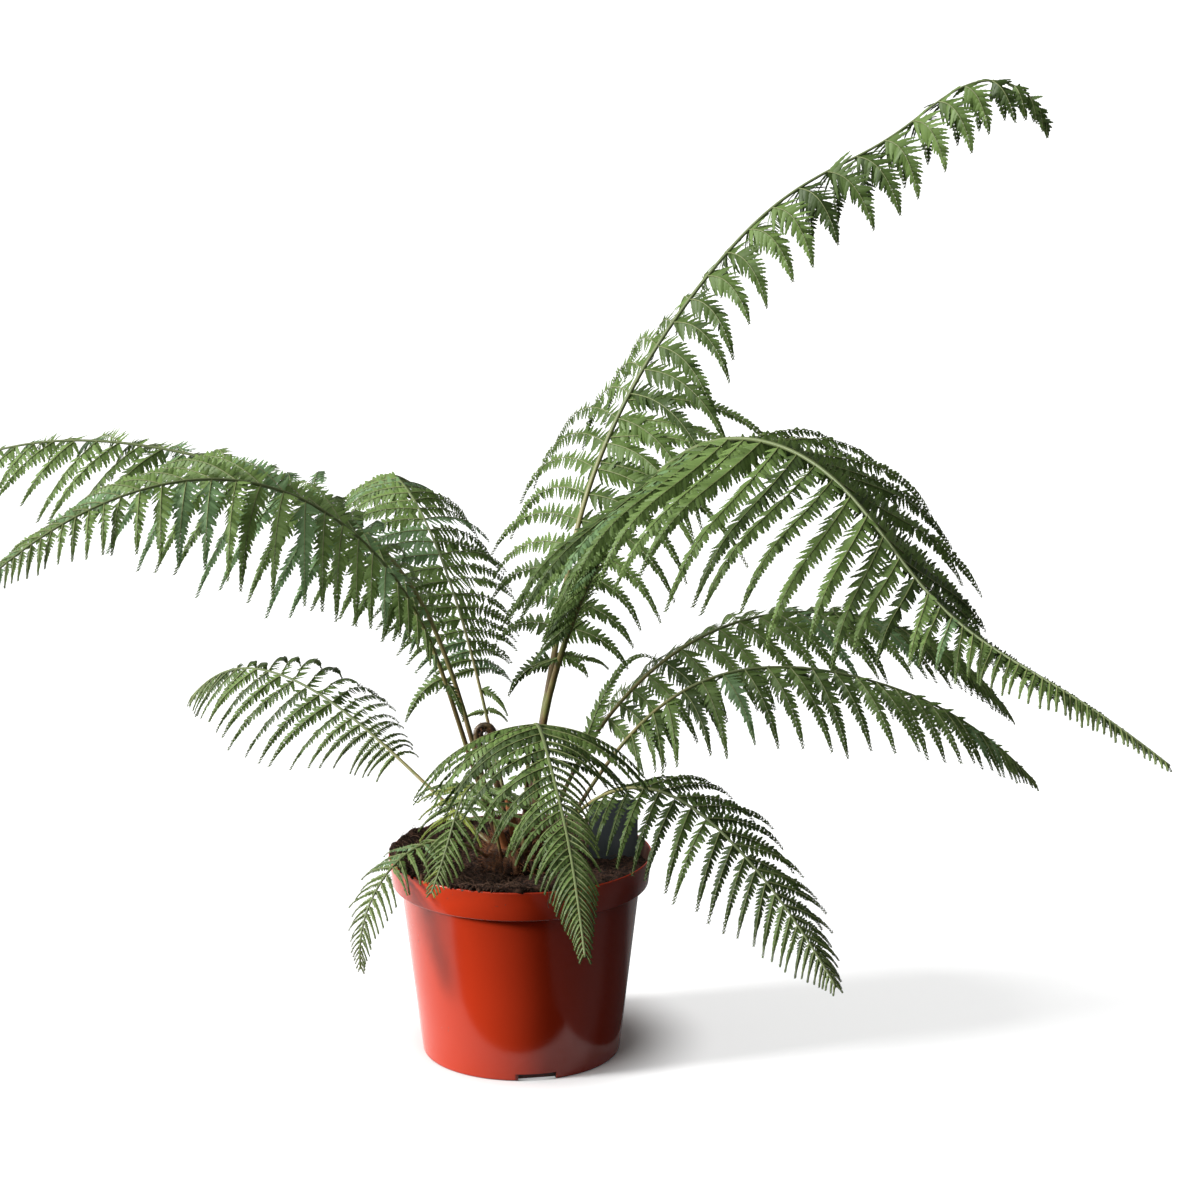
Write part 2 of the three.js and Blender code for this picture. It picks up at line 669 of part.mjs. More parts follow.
const plant = new THREE.Group();
plant.name = "soft_tree_fern";
plant.add(meshOf("pot", potSolid, POT_COLOUR, 0.3));
plant.add(meshOf("soil", soilSolid, SOIL_COLOUR, 0.95));
plant.add(meshOf("crown", crownSolid, CROWN_COLOUR, 0.9));
plant.add(meshOf("label", labelSolid, LABEL_COLOUR, 0.5));
plant.add(meshOf("crozier", crozierSolid, CROZIER_COLOUR, 0.85));
Object.entries(FRONDS).forEach(([name, frond]) => {
  plant.add(meshOf(`${name}_stalk`, frond.stalk, STALK_COLOUR, 0.7));
  frond.blades.forEach((blade) => {
    plant.add(meshOf(blade.node, bladeSolid(frond, blade), LEAF_COLOUR, 0.6));
  });
});

export default plant;
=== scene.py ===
import math

import bmesh
import bpy
import numpy as np
from mathutils import Matrix, Vector, noise


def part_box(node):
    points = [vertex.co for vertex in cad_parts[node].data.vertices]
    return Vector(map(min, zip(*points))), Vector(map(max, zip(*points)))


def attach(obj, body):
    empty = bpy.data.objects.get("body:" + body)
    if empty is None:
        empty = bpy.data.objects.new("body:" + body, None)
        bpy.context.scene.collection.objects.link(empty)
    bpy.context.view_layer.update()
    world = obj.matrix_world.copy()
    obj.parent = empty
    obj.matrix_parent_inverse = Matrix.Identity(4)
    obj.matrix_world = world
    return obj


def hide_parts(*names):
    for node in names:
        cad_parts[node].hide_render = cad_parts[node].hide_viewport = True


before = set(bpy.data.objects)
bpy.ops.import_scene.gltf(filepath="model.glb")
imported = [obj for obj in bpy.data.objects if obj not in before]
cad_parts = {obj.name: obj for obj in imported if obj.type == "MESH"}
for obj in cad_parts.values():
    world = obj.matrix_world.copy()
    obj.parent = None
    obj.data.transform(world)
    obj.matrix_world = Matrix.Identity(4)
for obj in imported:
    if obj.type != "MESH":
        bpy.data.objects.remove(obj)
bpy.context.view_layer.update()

# Pot. A round nursery pot of thin, glossy orange-red plastic, injection moulded in one piece with an
# outward rim band to lift it by. Drain notches are cut in its foot, and it stands on its flat
# underside. Its inner wall and the notches are a dark brown that is painted shade, blotched with soil
# colour.
MM = 0.001
POT_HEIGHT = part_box("pot")[1].z
POT_RIM_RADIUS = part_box("pot")[1].x
POT_BASE_RADIUS = 71.6 * MM
POT_NECK_RADIUS = 86 * MM
RIM_FOOT_RADIUS = 92.2 * MM
RIM_FOOT_HEIGHT = POT_HEIGHT - 21.5 * MM
POT_NECK_HEIGHT = RIM_FOOT_HEIGHT - 1.2 * MM
POT_WALL = 1.8 * MM
POT_FLOOR = 3 * MM
POT_STEPS = 144
POT_ROUNDING = 0.85 * MM
POT_SHARP_ANGLE = math.radians(20)
NOTCH_SIZE = (12 * MM, 27 * MM, 10 * MM)
NOTCH_COUNT = 3
NOTCH_FIRST_ANGLE = -79.5
WALL_RINGS = [2 * MM, 5.2 * MM, 7 * MM, 60 * MM]
POT_COLOUR = (0.57, 0.038, 0.010)
POT_FADED = (0.61, 0.048, 0.014)
POT_PAINTED_SHADE = (0.085, 0.022, 0.012)
DIRT_COLOUR = (0.045, 0.026, 0.016)
DIRT_START_HEIGHT = 112 * MM
DIRT_FULL_HEIGHT = 150 * MM


class Value:
    """A socket in a material's node tree. Sums on it add Math nodes to that tree."""

    def __init__(self, tree, socket=None):
        self.tree = tree
        self.socket = socket

    def node(self, kind, inputs, output=0, **settings):
        """Any node: its type, its settings, and the values or links of its sockets."""
        made = self.tree.nodes.new(kind)
        for name, setting in settings.items():
            setattr(made, name, setting)
        for key, given in inputs.items():
            if isinstance(given, Value):
                self.tree.links.new(given.socket, made.inputs[key])
            else:
                made.inputs[key].default_value = given
        return Value(self.tree, made.outputs[output])

    def maths(self, operation, first, second):
        return self.node("ShaderNodeMath", {0: first, 1: second}, operation=operation)

    def __add__(self, other):
        return self.maths("ADD", self, other)

    def __sub__(self, other):
        return self.maths("SUBTRACT", self, other)

    def __rsub__(self, other):
        return self.maths("SUBTRACT", other, self)

    def __mul__(self, other):
        return self.maths("MULTIPLY", self, other)

    def __gt__(self, other):
        return self.maths("GREATER_THAN", self, other)

    __radd__ = __add__
    __rmul__ = __mul__


class Finish(Value):
    """A material: constants sit on its shader's sockets, and give() links what varies."""

    def __init__(self, name, colour, roughness, **constants):
        self.material = bpy.data.materials.new(name)
        self.material.use_nodes = True
        super().__init__(self.material.node_tree)
        self.shader = self.tree.nodes["Principled BSDF"]
        self.shader.inputs["Base Color"].default_value = (*colour, 1)
        self.shader.inputs["Roughness"].default_value = roughness
        for key, constant in constants.items():
            self.shader.inputs[key.replace("_", " ")].default_value = constant

    def place(self, stretch=(1, 1, 1)):
        where = self.node("ShaderNodeTexCoord", {}, output="Object")
        return self.node("ShaderNodeMapping", {"Vector": where, "Scale": stretch})

    def grain(self, scale, detail=3, stretch=(1, 1, 1)):
        inputs = {"Vector": self.place(stretch), "Scale": scale, "Detail": detail}
        return self.node("ShaderNodeTexNoise", inputs)

    def mix(self, share, first, second):
        """A blend of two colours, each a plain one or a Value."""
        inputs = {"Factor": share}
        for socket, colour in ((6, first), (7, second)):
            inputs[socket] = colour if isinstance(colour, Value) else (*colour, 1)
        return self.node("ShaderNodeMix", inputs, output=2, data_type="RGBA")

    def between(self, value, low, high):
        inputs = {"Value": value, "From Min": low, "From Max": high}
        return self.node("ShaderNodeMapRange", inputs, interpolation_type="SMOOTHSTEP")

    def give(self, key, value):
        self.tree.links.new(value.socket, self.shader.inputs[key])

    def tint(self, share, first, second):
        self.give("Base Color", self.mix(share, first, second))

    def bump(self, height, strength, depth):
        inputs = {"Height": height, "Strength": strength, "Distance": depth}
        self.give("Normal", self.node("ShaderNodeBump", inputs))


def spun(profile, steps):
    """The closed skin that half an outline makes when it is turned about the upright axis."""
    bm = bmesh.new()
    line = [bm.verts.new((radius, 0, height)) for radius, height in profile]
    for first, second in zip(line, line[1:]):
        bm.edges.new((first, second))
    bmesh.ops.spin(
        bm, geom=bm.verts[:] + bm.edges[:], cent=(0, 0, 0), axis=(0, 0, 1),
        angle=2 * math.pi, steps=steps, use_merge=True,
    )
    bmesh.ops.remove_doubles(bm, verts=bm.verts, dist=1e-6)
    bmesh.ops.recalc_face_normals(bm, faces=bm.faces)
    return bm


def mesh_of(name, bm):
    """The mesh of a bmesh, which is used up."""
    mesh = bpy.data.meshes.new(name)
    bm.to_mesh(mesh)
    bm.free()
    return mesh


def placed(name, shape):
    """A new object in the scene that holds a mesh, curve, light or camera."""
    thing = bpy.data.objects.new(name, shape)
    bpy.context.scene.collection.objects.link(thing)
    return thing


def evaluated_mesh(thing):
    """The mesh that an object shows once its modifiers or its bevel have shaped it."""
    view = bpy.context.evaluated_depsgraph_get()
    return bpy.data.meshes.new_from_object(thing.evaluated_get(view))


def made_piece(name, shape, finishes, slot, *nodes):
    """A finished piece from a bmesh or a mesh: its finishes, what it stands for, and its ride."""
    mesh = mesh_of(name, shape) if isinstance(shape, bmesh.types.BMesh) else shape
    mesh.shade_smooth()
    piece = placed(name, mesh)
    for finish in finishes:
        mesh.materials.append(finish.material)
    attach(piece, "root")
    if nodes:
        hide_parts(*nodes)
    return piece


def drilled(piece, cutter_bm):
    """Cuts a closed shape out of a piece and leaves the result in the piece's own mesh."""
    cutter = placed("cutter", mesh_of("cutter", cutter_bm))
    cut = piece.modifiers.new("cut", "BOOLEAN")
    cut.object = cutter
    cut.solver = "EXACT"
    whole = evaluated_mesh(piece)
    piece.modifiers.clear()
    piece.data = whole
    bpy.data.objects.remove(cutter)


def wall_radius(height):
    return POT_BASE_RADIUS + (POT_NECK_RADIUS - POT_BASE_RADIUS) * height / POT_NECK_HEIGHT


pot_bm = spun(
    [
        (0, 0),
        (POT_BASE_RADIUS, 0),
        *[(wall_radius(height), height) for height in WALL_RINGS],
        (POT_NECK_RADIUS, POT_NECK_HEIGHT),
        (RIM_FOOT_RADIUS, RIM_FOOT_HEIGHT),
        (POT_RIM_RADIUS, POT_HEIGHT),
        (POT_RIM_RADIUS - POT_WALL, POT_HEIGHT),
        (RIM_FOOT_RADIUS - POT_WALL, RIM_FOOT_HEIGHT + POT_WALL),
        (POT_NECK_RADIUS - POT_WALL, RIM_FOOT_HEIGHT),
        (POT_BASE_RADIUS - POT_WALL, POT_FLOOR),
        (0, POT_FLOOR),
    ],
    POT_STEPS,
)
sharp_edges = [edge for edge in pot_bm.edges if edge.calc_face_angle(0) > POT_SHARP_ANGLE]
bmesh.ops.bevel(
    pot_bm, geom=sharp_edges, offset=POT_ROUNDING, segments=3, profile=0.5,
    affect="EDGES", material=-1, clamp_overlap=True,
)

pot_plastic = Finish("pot_plastic", POT_COLOUR, 0.2, IOR=1.52, Specular_IOR_Level=0.38)
rim_height = pot_plastic.node("ShaderNodeSeparateXYZ", {0: pot_plastic.place()}, output="Z")
near_rim = pot_plastic.between(rim_height, DIRT_START_HEIGHT, DIRT_FULL_HEIGHT)
blotches = pot_plastic.grain(scale=26, detail=6)
smudge = pot_plastic.between(blotches + 0.10 * near_rim, low=0.60, high=0.74)
specks = pot_plastic.between(pot_plastic.grain(scale=330, detail=2), low=0.69, high=0.73)
dirt = smudge * specks * 0.9 + 0.16 * smudge * near_rim
fading = pot_plastic.grain(scale=14, detail=2)
plain = pot_plastic.mix(fading, POT_COLOUR, POT_FADED)
pot_plastic.tint(dirt, plain, DIRT_COLOUR)
handling = pot_plastic.grain(scale=60, detail=4)
pot_plastic.give("Roughness", 0.14 + 0.08 * handling + 0.45 * dirt)
waves = pot_plastic.grain(scale=70, detail=2, stretch=(1, 1, 0.12))
pot_plastic.bump(waves + 0.5 * dirt, strength=0.12, depth=0.4 * MM)
# The inner wall and the notches take this dark brown: painted shade, with blotches of soil colour in
# it.
pot_painted_shade = Finish("pot_painted_shade", POT_PAINTED_SHADE, 0.6)
shade_blotches = pot_painted_shade.between(pot_painted_shade.grain(scale=45, detail=5), low=0.35, high=0.7)
pot_painted_shade.tint(shade_blotches, POT_PAINTED_SHADE, DIRT_COLOUR)
pot_painted_shade.bump(pot_painted_shade.grain(scale=500), strength=0.4, depth=0.4 * MM)
# Faces of the inner wall above the floor take the painted shade.
for face in pot_bm.faces:
    middle = face.calc_center_median()
    outwards = middle.x * face.normal.x + middle.y * face.normal.y
    if middle.z > POT_FLOOR and outwards < -0.5 * middle.xy.length:
        face.material_index = 1
pot = made_piece("nursery_pot", pot_bm, [pot_plastic, pot_painted_shade], "pot_plastic", "pot")

notch_bm = bmesh.new()
for turn in range(NOTCH_COUNT):
    angle = math.radians(NOTCH_FIRST_ANGLE + 360 * turn / NOTCH_COUNT)
    spot = Matrix.Rotation(angle, 4, "Z") @ Matrix.Translation((POT_BASE_RADIUS, 0, 0))
    bmesh.ops.create_cube(notch_bm, size=1, matrix=spot @ Matrix.Diagonal((*NOTCH_SIZE, 1)))
# The notches' faces take the painted shade as well.
for face in notch_bm.faces:
    face.material_index = 1
drilled(pot, notch_bm)


# Soil. Dark fibrous peat compost pressed round the crown. It is heaped against the rim at the front
# left, where crumbs lie on the rim, and sinks below it on the right. Loose fibres lie on it, and one
# root hangs over the rim at the front.
SEED = 20
SOIL_RADIUS = 91.6 * MM
SOIL_EDGE_HEIGHT = 136 * MM
SOIL_TOP_HEIGHT = 137 * MM
SOIL_HEAP_HEIGHT = 14 * MM
SOIL_HEAP_ANGLE = math.radians(-150)
SOIL_RINGS = 62
SOIL_STEPS = 170
SOIL_FOOT = POT_FLOOR + 1 * MM
LUMP_HEIGHT = 2.2 * MM
GRIT_HEIGHT = 1.1 * MM
CRUMB_COUNT = 1800
CRUMB_SIZE = 0.5 * MM
CRUMB_SHARES = [0.5, 0.35, 0.15]
SPILL_COUNT = 420
SPILL_ANGLE = math.radians(-145)
SPILL_GROWTH = 2.2
FIBRE_COUNT = 260
FIBRE_STEPS = 6
FIBRE_RADII = (0.24 * MM, 0.1 * MM)
RIM_ROOT = [
    (12, -84, 147), (19, -91, 149.5), (22, -93.6, 148.6),
    (22.4, -95, 144), (21, -94.8, 140), (22, -94, 136),
]
RIM_ROOT_RADII = (0.5 * MM, 0.2 * MM)
PEAT_DARK = (0.020, 0.011, 0.008)
PEAT_LIGHT = (0.085, 0.041, 0.025)
CRUMB_COLOURS = [(0.026, 0.014, 0.009), (0.058, 0.029, 0.018), (0.10, 0.053, 0.031)]
FIBRE_COLOUR = (0.13, 0.070, 0.036)
rng = np.random.default_rng(SEED)


def soil_height(x, y):
    """The top of the soil over a spot, with its heap, lumps and grit."""
    reach = min(math.hypot(x, y) / SOIL_RADIUS, 1)
    towards_heap = 0.5 + 0.5 * math.cos(math.atan2(y, x) - SOIL_HEAP_ANGLE)
    rise = SOIL_HEAP_HEIGHT * min(1, 1.7 * towards_heap) * reach ** 3
    level = SOIL_TOP_HEIGHT + (SOIL_EDGE_HEIGHT - SOIL_TOP_HEIGHT) * reach ** 2
    lumps = noise.fractal(Vector((x, y, 0.3)) * 60, 0.8, 2.1, 3)
    grit = noise.fractal(Vector((x, y, 0.7)) * 330, 0.7, 2.2, 3)
    return level + rise + LUMP_HEIGHT * lumps + GRIT_HEIGHT * grit


soil_profile = [(SOIL_RADIUS * ring / SOIL_RINGS, SOIL_TOP_HEIGHT) for ring in range(SOIL_RINGS + 1)]
soil_profile += [(POT_NECK_RADIUS - 5 * MM, RIM_FOOT_HEIGHT - 4 * MM)]
soil_profile += [(POT_BASE_RADIUS - 3 * MM, SOIL_FOOT), (0, SOIL_FOOT)]
soil_bm = spun(soil_profile, SOIL_STEPS)
for vert in soil_bm.verts:
    if vert.co.z > SOIL_TOP_HEIGHT - 1e-5:
        vert.co.z = soil_height(vert.co.x, vert.co.y)

peat = Finish("peat", PEAT_DARK, 0.95, Specular_IOR_Level=0.2)
clods = peat.between(peat.grain(scale=420, detail=5), low=0.38, high=0.68)
peat.tint(clods, PEAT_DARK, PEAT_LIGHT)
peat.bump(peat.grain(scale=900, detail=4) + clods, strength=0.7, depth=1.2 * MM)
made_piece("soil_bed", soil_bm, [peat], "soil", "soil")


def joined(name, verts, faces, finishes, shades, slot, *nodes):
    """One mesh piece from arrays of points and triangles, with a finish number for each triangle."""
    mesh = bpy.data.meshes.new(name)
    mesh.vertices.add(len(verts))
    mesh.vertices.foreach_set("co", verts.astype(np.float32).ravel())
    mesh.loops.add(faces.size)
    mesh.loops.foreach_set("vertex_index", faces.astype(np.int32).ravel())
    mesh.polygons.add(len(faces))
    mesh.polygons.foreach_set("loop_start", np.arange(0, faces.size, 3, dtype=np.int32))
    mesh.polygons.foreach_set("material_index", shades.astype(np.int32))
    mesh.update(calc_edges=True)
    return made_piece(name, mesh, finishes, slot, *nodes)


def copies(places, template_faces):
    """Points and triangles of one small shape repeated: places holds each copy's own points."""
    starts = np.arange(len(places)) * places.shape[1]
    faces = template_faces[None] + starts[:, None, None]
    return places.reshape(-1, 3), faces.reshape(-1, 3)


def ball_template():
    bm = bmesh.new()
    bmesh.ops.create_icosphere(bm, subdivisions=1, radius=1)
    verts = np.array([vert.co for vert in bm.verts])
    faces = np.array([[vert.index for vert in face.verts] for face in bm.faces])
    bm.free()
    return verts, faces


def scattered_on_soil(count):
    """Places on the soil, more of them on the heap and by the rim."""
    reach = SOIL_RADIUS * np.sqrt(rng.uniform(0.03, 1, count))
    angle = SOIL_HEAP_ANGLE + rng.normal(0, 1.3, count)
    x, y = reach * np.cos(angle), reach * np.sin(angle)
    z = np.array([soil_height(a, b) for a, b in zip(x, y)])
    return np.stack([x, y, z], 1)


def spilled_on_rim(count):
    """Places on the rim's top, where the soil is heaped over it."""
    reach = rng.uniform(SOIL_RADIUS - 2 * MM, POT_RIM_RADIUS - 0.4 * MM, count)
    angle = SPILL_ANGLE + rng.normal(0, 0.5, count)
    height = POT_HEIGHT + rng.uniform(0.2, 1.8, count) * MM
    return np.stack([reach * np.cos(angle), reach * np.sin(angle), height], 1)


ball_verts, ball_faces = ball_template()
crumb_size = CRUMB_SIZE * rng.lognormal(0, 0.5, CRUMB_COUNT).clip(0.5, 3.2)
crumb_size[-SPILL_COUNT:] *= SPILL_GROWTH
crumb_knobs = rng.uniform(0.65, 1.25, (CRUMB_COUNT, len(ball_verts), 1))
crumb_flat = rng.uniform(0.5, 1.1, (CRUMB_COUNT, 1, 3))
crumb_middles = np.vstack([scattered_on_soil(CRUMB_COUNT - SPILL_COUNT), spilled_on_rim(SPILL_COUNT)])
crumb_shapes = ball_verts * crumb_knobs * crumb_flat * crumb_size[:, None, None]
crumb_verts, crumb_faces = copies(crumb_middles[:, None] + crumb_shapes, ball_faces)
crumb_shades = rng.choice(len(CRUMB_COLOURS), CRUMB_COUNT, p=CRUMB_SHARES)
crumb_shades = np.repeat(crumb_shades, len(ball_faces))
crumb_finishes = []
for number, colour in enumerate(CRUMB_COLOURS):
    crumb_finishes.append(Finish(f"peat_crumb_{number}", colour, 0.95, Specular_IOR_Level=0.2))
joined("soil_crumbs", crumb_verts, crumb_faces, crumb_finishes, crumb_shades, "soil")


def strands(name, lines, finishes, slot):
    """Thin round strands, each a line of points with a radius at each point, as one mesh piece."""
    curve = bpy.data.curves.new(name, "CURVE")
    curve.dimensions = "3D"
    curve.bevel_depth = 1
    curve.bevel_resolution = 0
    curve.use_fill_caps = True
    for points, radii in lines:
        spline = curve.splines.new("POLY")
        spline.points.add(len(points) - 1)
        spline.points.foreach_set("co", np.c_[points, np.ones(len(points))].ravel())
        spline.points.foreach_set("radius", np.asarray(radii, float))
    holder = placed(name, curve)
    mesh = evaluated_mesh(holder)
    mesh.materials.clear()
    bpy.data.objects.remove(holder)
    return made_piece(name, mesh, finishes, slot)


def fibre_line(start, length, lift):
    """One fibre that wanders over the soil and stays inside the pot."""
    heading = rng.uniform(0, 2 * math.pi)
    points = [start]
    for step in range(1, FIBRE_STEPS + 1):
        heading += rng.normal(0, 0.45)
        way = np.array([math.cos(heading), math.sin(heading)])
        x, y = points[-1][:2] + length / FIBRE_STEPS * way
        scale = min(1, (SOIL_RADIUS - 1 * MM) / math.hypot(x, y))
        x, y = x * scale, y * scale
        arch = lift * math.sin(math.pi * step / FIBRE_STEPS)
        points.append(np.array([x, y, soil_height(x, y) + arch]))
    return np.array(points), np.linspace(*FIBRE_RADII, FIBRE_STEPS + 1)


fibre_lines = [(np.array(RIM_ROOT) * MM, np.linspace(*RIM_ROOT_RADII, len(RIM_ROOT)))]
for start in scattered_on_soil(FIBRE_COUNT):
    fibre_lines.append(fibre_line(start, rng.uniform(6, 22) * MM, rng.uniform(0.4, 3.5) * MM))
peat_fibre = Finish("peat_fibre", FIBRE_COLOUR, 0.85)
peat_fibre.tint(peat_fibre.grain(scale=160, detail=2), PEAT_LIGHT, FIBRE_COLOUR)
strands("soil_fibres", fibre_lines, [peat_fibre], "soil")


# Crown. The short fibrous top of the young trunk, from which every frond grows. It is matted with
# red-brown hairs and carries the cut stumps of old stalks.
CROWN_RADIUS = 26 * MM
CROWN_HEIGHT = 30 * MM
CROWN_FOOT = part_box("crown")[0].z
SEAT_DEPTH = 4 * MM
CROWN_RINGS = 26
CROWN_STEPS = 90
CROWN_HAIR_COUNT = 900
CROWN_HAIR_CENTRE = CROWN_FOOT - 12 * MM
HAIR_STEPS = 3
HAIR_RADII = (0.16 * MM, 0.06 * MM)
STUB_RADIUS = 2.6 * MM
STUB_STATIONS = 22
STUB_SIDES = 14
STUBS = [
    ((250, 28), (-0.15, -0.2, 1), 36 * MM),
    ((235, 52), (-0.35, -0.25, 1), 27 * MM),
    ((70, 60), (0.3, 0.7, 1), 18 * MM),
]
CROWN_DARK = (0.030, 0.015, 0.009)
CROWN_LIGHT = (0.16, 0.070, 0.030)
STUB_COLOUR = (0.36, 0.13, 0.045)
STUB_BROWN = (0.12, 0.05, 0.022)


def dome_place(seat, depth=SEAT_DEPTH):
    around, down = (math.radians(angle) for angle in seat)
    flat = (CROWN_RADIUS - depth) * math.sin(down)
    high = CROWN_FOOT + (CROWN_HEIGHT - depth) * math.cos(down)
    return np.array([flat * math.cos(around), flat * math.sin(around), high])


def rolled(surface, stations, sides):
    """A flat grid rolled into a closed tube: surface gives a point for (around, along), both 0 to 1."""
    bm = bmesh.new()
    share = bm.verts.layers.float.new("along")
    bmesh.ops.create_grid(bm, x_segments=sides, y_segments=stations, size=0.5)
    for vert in bm.verts:
        around, along = vert.co.x + 0.5, vert.co.y + 0.5
        vert[share] = along
        vert.co = surface(around % 1, along)
    bmesh.ops.remove_doubles(bm, verts=bm.verts, dist=1e-7)
    bmesh.ops.holes_fill(bm, edges=bm.edges, sides=0)
    bmesh.ops.recalc_face_normals(bm, faces=bm.faces)
    return bm


crown_profile = [(0, CROWN_FOOT)]
for ring in range(CROWN_RINGS + 1):
    polar = math.pi / 2 * (1 - ring / CROWN_RINGS)
    crown_profile.append((CROWN_RADIUS * math.sin(polar), CROWN_FOOT + CROWN_HEIGHT * math.cos(polar)))
crown_bm = spun(crown_profile, CROWN_STEPS)
for vert in crown_bm.verts:
    around = math.atan2(vert.co.y, vert.co.x)
    ridge = Vector((9 * math.cos(around), 9 * math.sin(around), 30 * vert.co.z))
    relief = noise.fractal(ridge, 0.6, 2.2, 4) * vert.co.xy.length / CROWN_RADIUS
    vert.co.xy *= 1 + 0.09 * relief
    vert.co.z += 1.2 * MM * relief * (vert.co.z > CROWN_FOOT + 1 * MM)

crown_fibre = Finish("crown_fibre", CROWN_DARK, 0.9, Specular_IOR_Level=0.25)
combed = crown_fibre.grain(scale=260, detail=4, stretch=(1, 1, 0.25))
matting = crown_fibre.between(combed, low=0.4, high=0.7)
crown_fibre.tint(matting, CROWN_DARK, CROWN_LIGHT)
crown_fibre.bump(matting, strength=0.8, depth=1 * MM)
made_piece("crown_dome", crown_bm, [crown_fibre], "crown_fibre", "crown")


def stub_surface(seat, lean, length):
    """The ragged skin of a cut stump, for rolled()."""
    foot = Vector(dome_place(seat))
    along_axis = Vector(lean).normalized()
    side = along_axis.cross((0, 0, 1)).normalized()
    normal = side.cross(along_axis)

    def surface(around, along):
        angle = 2 * math.pi * around
        radius = STUB_RADIUS * (1.3 - 0.3 * along) * (1 + 0.08 * math.sin(3 * angle))
        radius *= 1 if 0.02 < along < 0.98 else 0.88
        ragged = length * (along + 0.03 * along * math.sin(2 * angle + 1))
        return foot + along_axis * ragged + (side * math.cos(angle) + normal * math.sin(angle)) * radius

    return surface


stub_skin = Finish("stub_skin", STUB_COLOUR, 0.6)
stub_grain = stub_skin.grain(scale=140, detail=4, stretch=(1, 1, 0.3))
stub_age = stub_skin.between(stub_grain, low=0.42, high=0.62)
stub_skin.tint(stub_age, STUB_COLOUR, STUB_BROWN)
stub_skin.bump(stub_age, strength=0.4, depth=0.5 * MM)
for number, (seat, lean, length) in enumerate(STUBS):
    stub_bm = rolled(stub_surface(seat, lean, length), STUB_STATIONS, STUB_SIDES)
    made_piece(f"old_stub_{number}", stub_bm, [stub_skin], "crown_fibre")


def hair_line(foot, out, length):
    """One hair that leaves its foot outwards and bends under its own weight."""
    points = [foot]
    for step in range(HAIR_STEPS):
        way = out + rng.normal(0, 0.22, 3) - np.array([0, 0, 0.28 * step])
        points.append(points[-1] + way / np.linalg.norm(way) * length / HAIR_STEPS)
    return np.array(points), np.linspace(*HAIR_RADII, HAIR_STEPS + 1)


crown_hairs = []
for _ in range(CROWN_HAIR_COUNT):
    seat = (rng.uniform(0, 360), math.degrees(math.acos(rng.uniform(0.02, 1))))
    foot = dome_place(seat, 0.3 * MM)
    out = dome_place(seat, 0) - np.array([0, 0, CROWN_HAIR_CENTRE])
    crown_hairs.append(hair_line(foot, out / np.linalg.norm(out), rng.uniform(4, 10) * MM))
crown_hair = Finish("crown_hair", CROWN_LIGHT, 0.6)
crown_hair.tint(crown_hair.grain(scale=120, detail=2), CROWN_LIGHT, STUB_COLOUR)
strands("crown_hairs", crown_hairs, [crown_hair], "crown_fibre")


# Label. A bare card of dark blue-grey plastic, punched from sheet with rounded corners and pushed
# upright into the soil beside the crown.
LABEL_WIDTH = 36 * MM
LABEL_HEIGHT = 52 * MM
LABEL_THICKNESS = 0.9 * MM
LABEL_CORNER = 3 * MM
LABEL_PLACE = (67 * MM, 19 * MM)
LABEL_TURN = math.radians(8)
LABEL_BOW = 1.2 * MM
LABEL_STRIPS = 12
LABEL_COLOUR = (0.085, 0.105, 0.115)
LABEL_SCUFF = (0.15, 0.165, 0.17)

label_bm = bmesh.new()
label_size = Matrix.Diagonal((LABEL_WIDTH, LABEL_THICKNESS, LABEL_HEIGHT, 1))
bmesh.ops.create_cube(label_bm, size=1, matrix=label_size)
corner_edges = [edge for edge in label_bm.edges if edge.calc_length() < LABEL_CORNER]
bmesh.ops.bevel(
    label_bm, geom=corner_edges, offset=LABEL_CORNER, segments=5, profile=0.5,
    affect="EDGES", material=-1,
)
for strip in range(1, LABEL_STRIPS):
    across = (strip / LABEL_STRIPS - 0.5) * LABEL_WIDTH
    bmesh.ops.bisect_plane(
        label_bm, geom=label_bm.verts[:] + label_bm.edges[:] + label_bm.faces[:],
        plane_co=(across, 0, 0), plane_no=(1, 0, 0),
    )
for vert in label_bm.verts:
    vert.co.y += LABEL_BOW * ((2 * vert.co.x / LABEL_WIDTH) ** 2 - 0.5)
label_middle = (*LABEL_PLACE, 0.5 * (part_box("label")[0].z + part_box("label")[1].z))
label_bm.transform(Matrix.Translation(label_middle) @ Matrix.Rotation(LABEL_TURN, 4, "Z"))

label_plastic = Finish("label_plastic", LABEL_COLOUR, 0.42)
rubbing = label_plastic.grain(scale=45, detail=6, stretch=(1, 1, 0.35))
scuffs = label_plastic.between(rubbing, low=0.45, high=0.8)
label_plastic.tint(scuffs, LABEL_COLOUR, LABEL_SCUFF)
label_plastic.give("Roughness", 0.36 + 0.25 * scuffs)
label = made_piece("label_card", label_bm, [label_plastic], "label_plastic", "label")
label.data.shade_flat()


# Crozier. A young frond still rolled up: a soft brown stalk furred with the crown's red-brown hairs.
# It grows from the crown like the others and ends in a tight coil that has yet to open.
CROZIER_SEAT = (190, 20)
CROZIER_NECK = np.array([-31, -4, 232]) * MM
CROZIER_BOW = 3 * MM
CROZIER_RADIUS = 2.5 * MM
CROZIER_STATIONS = 150
CROZIER_SIDES = 14
COIL_OUTER_RADIUS = 7.2 * MM
COIL_INNER_RADIUS = 2.0 * MM
COIL_TURNS = 1.6
COIL_LIFT = 4 * MM
COIL_RISE_SHARE = 0.6
COIL_THINNING = 0.42
CROZIER_HAIR_COUNT = 320
CROZIER_DARK = (0.045, 0.026, 0.014)
CROZIER_LIGHT = (0.17, 0.11, 0.045)


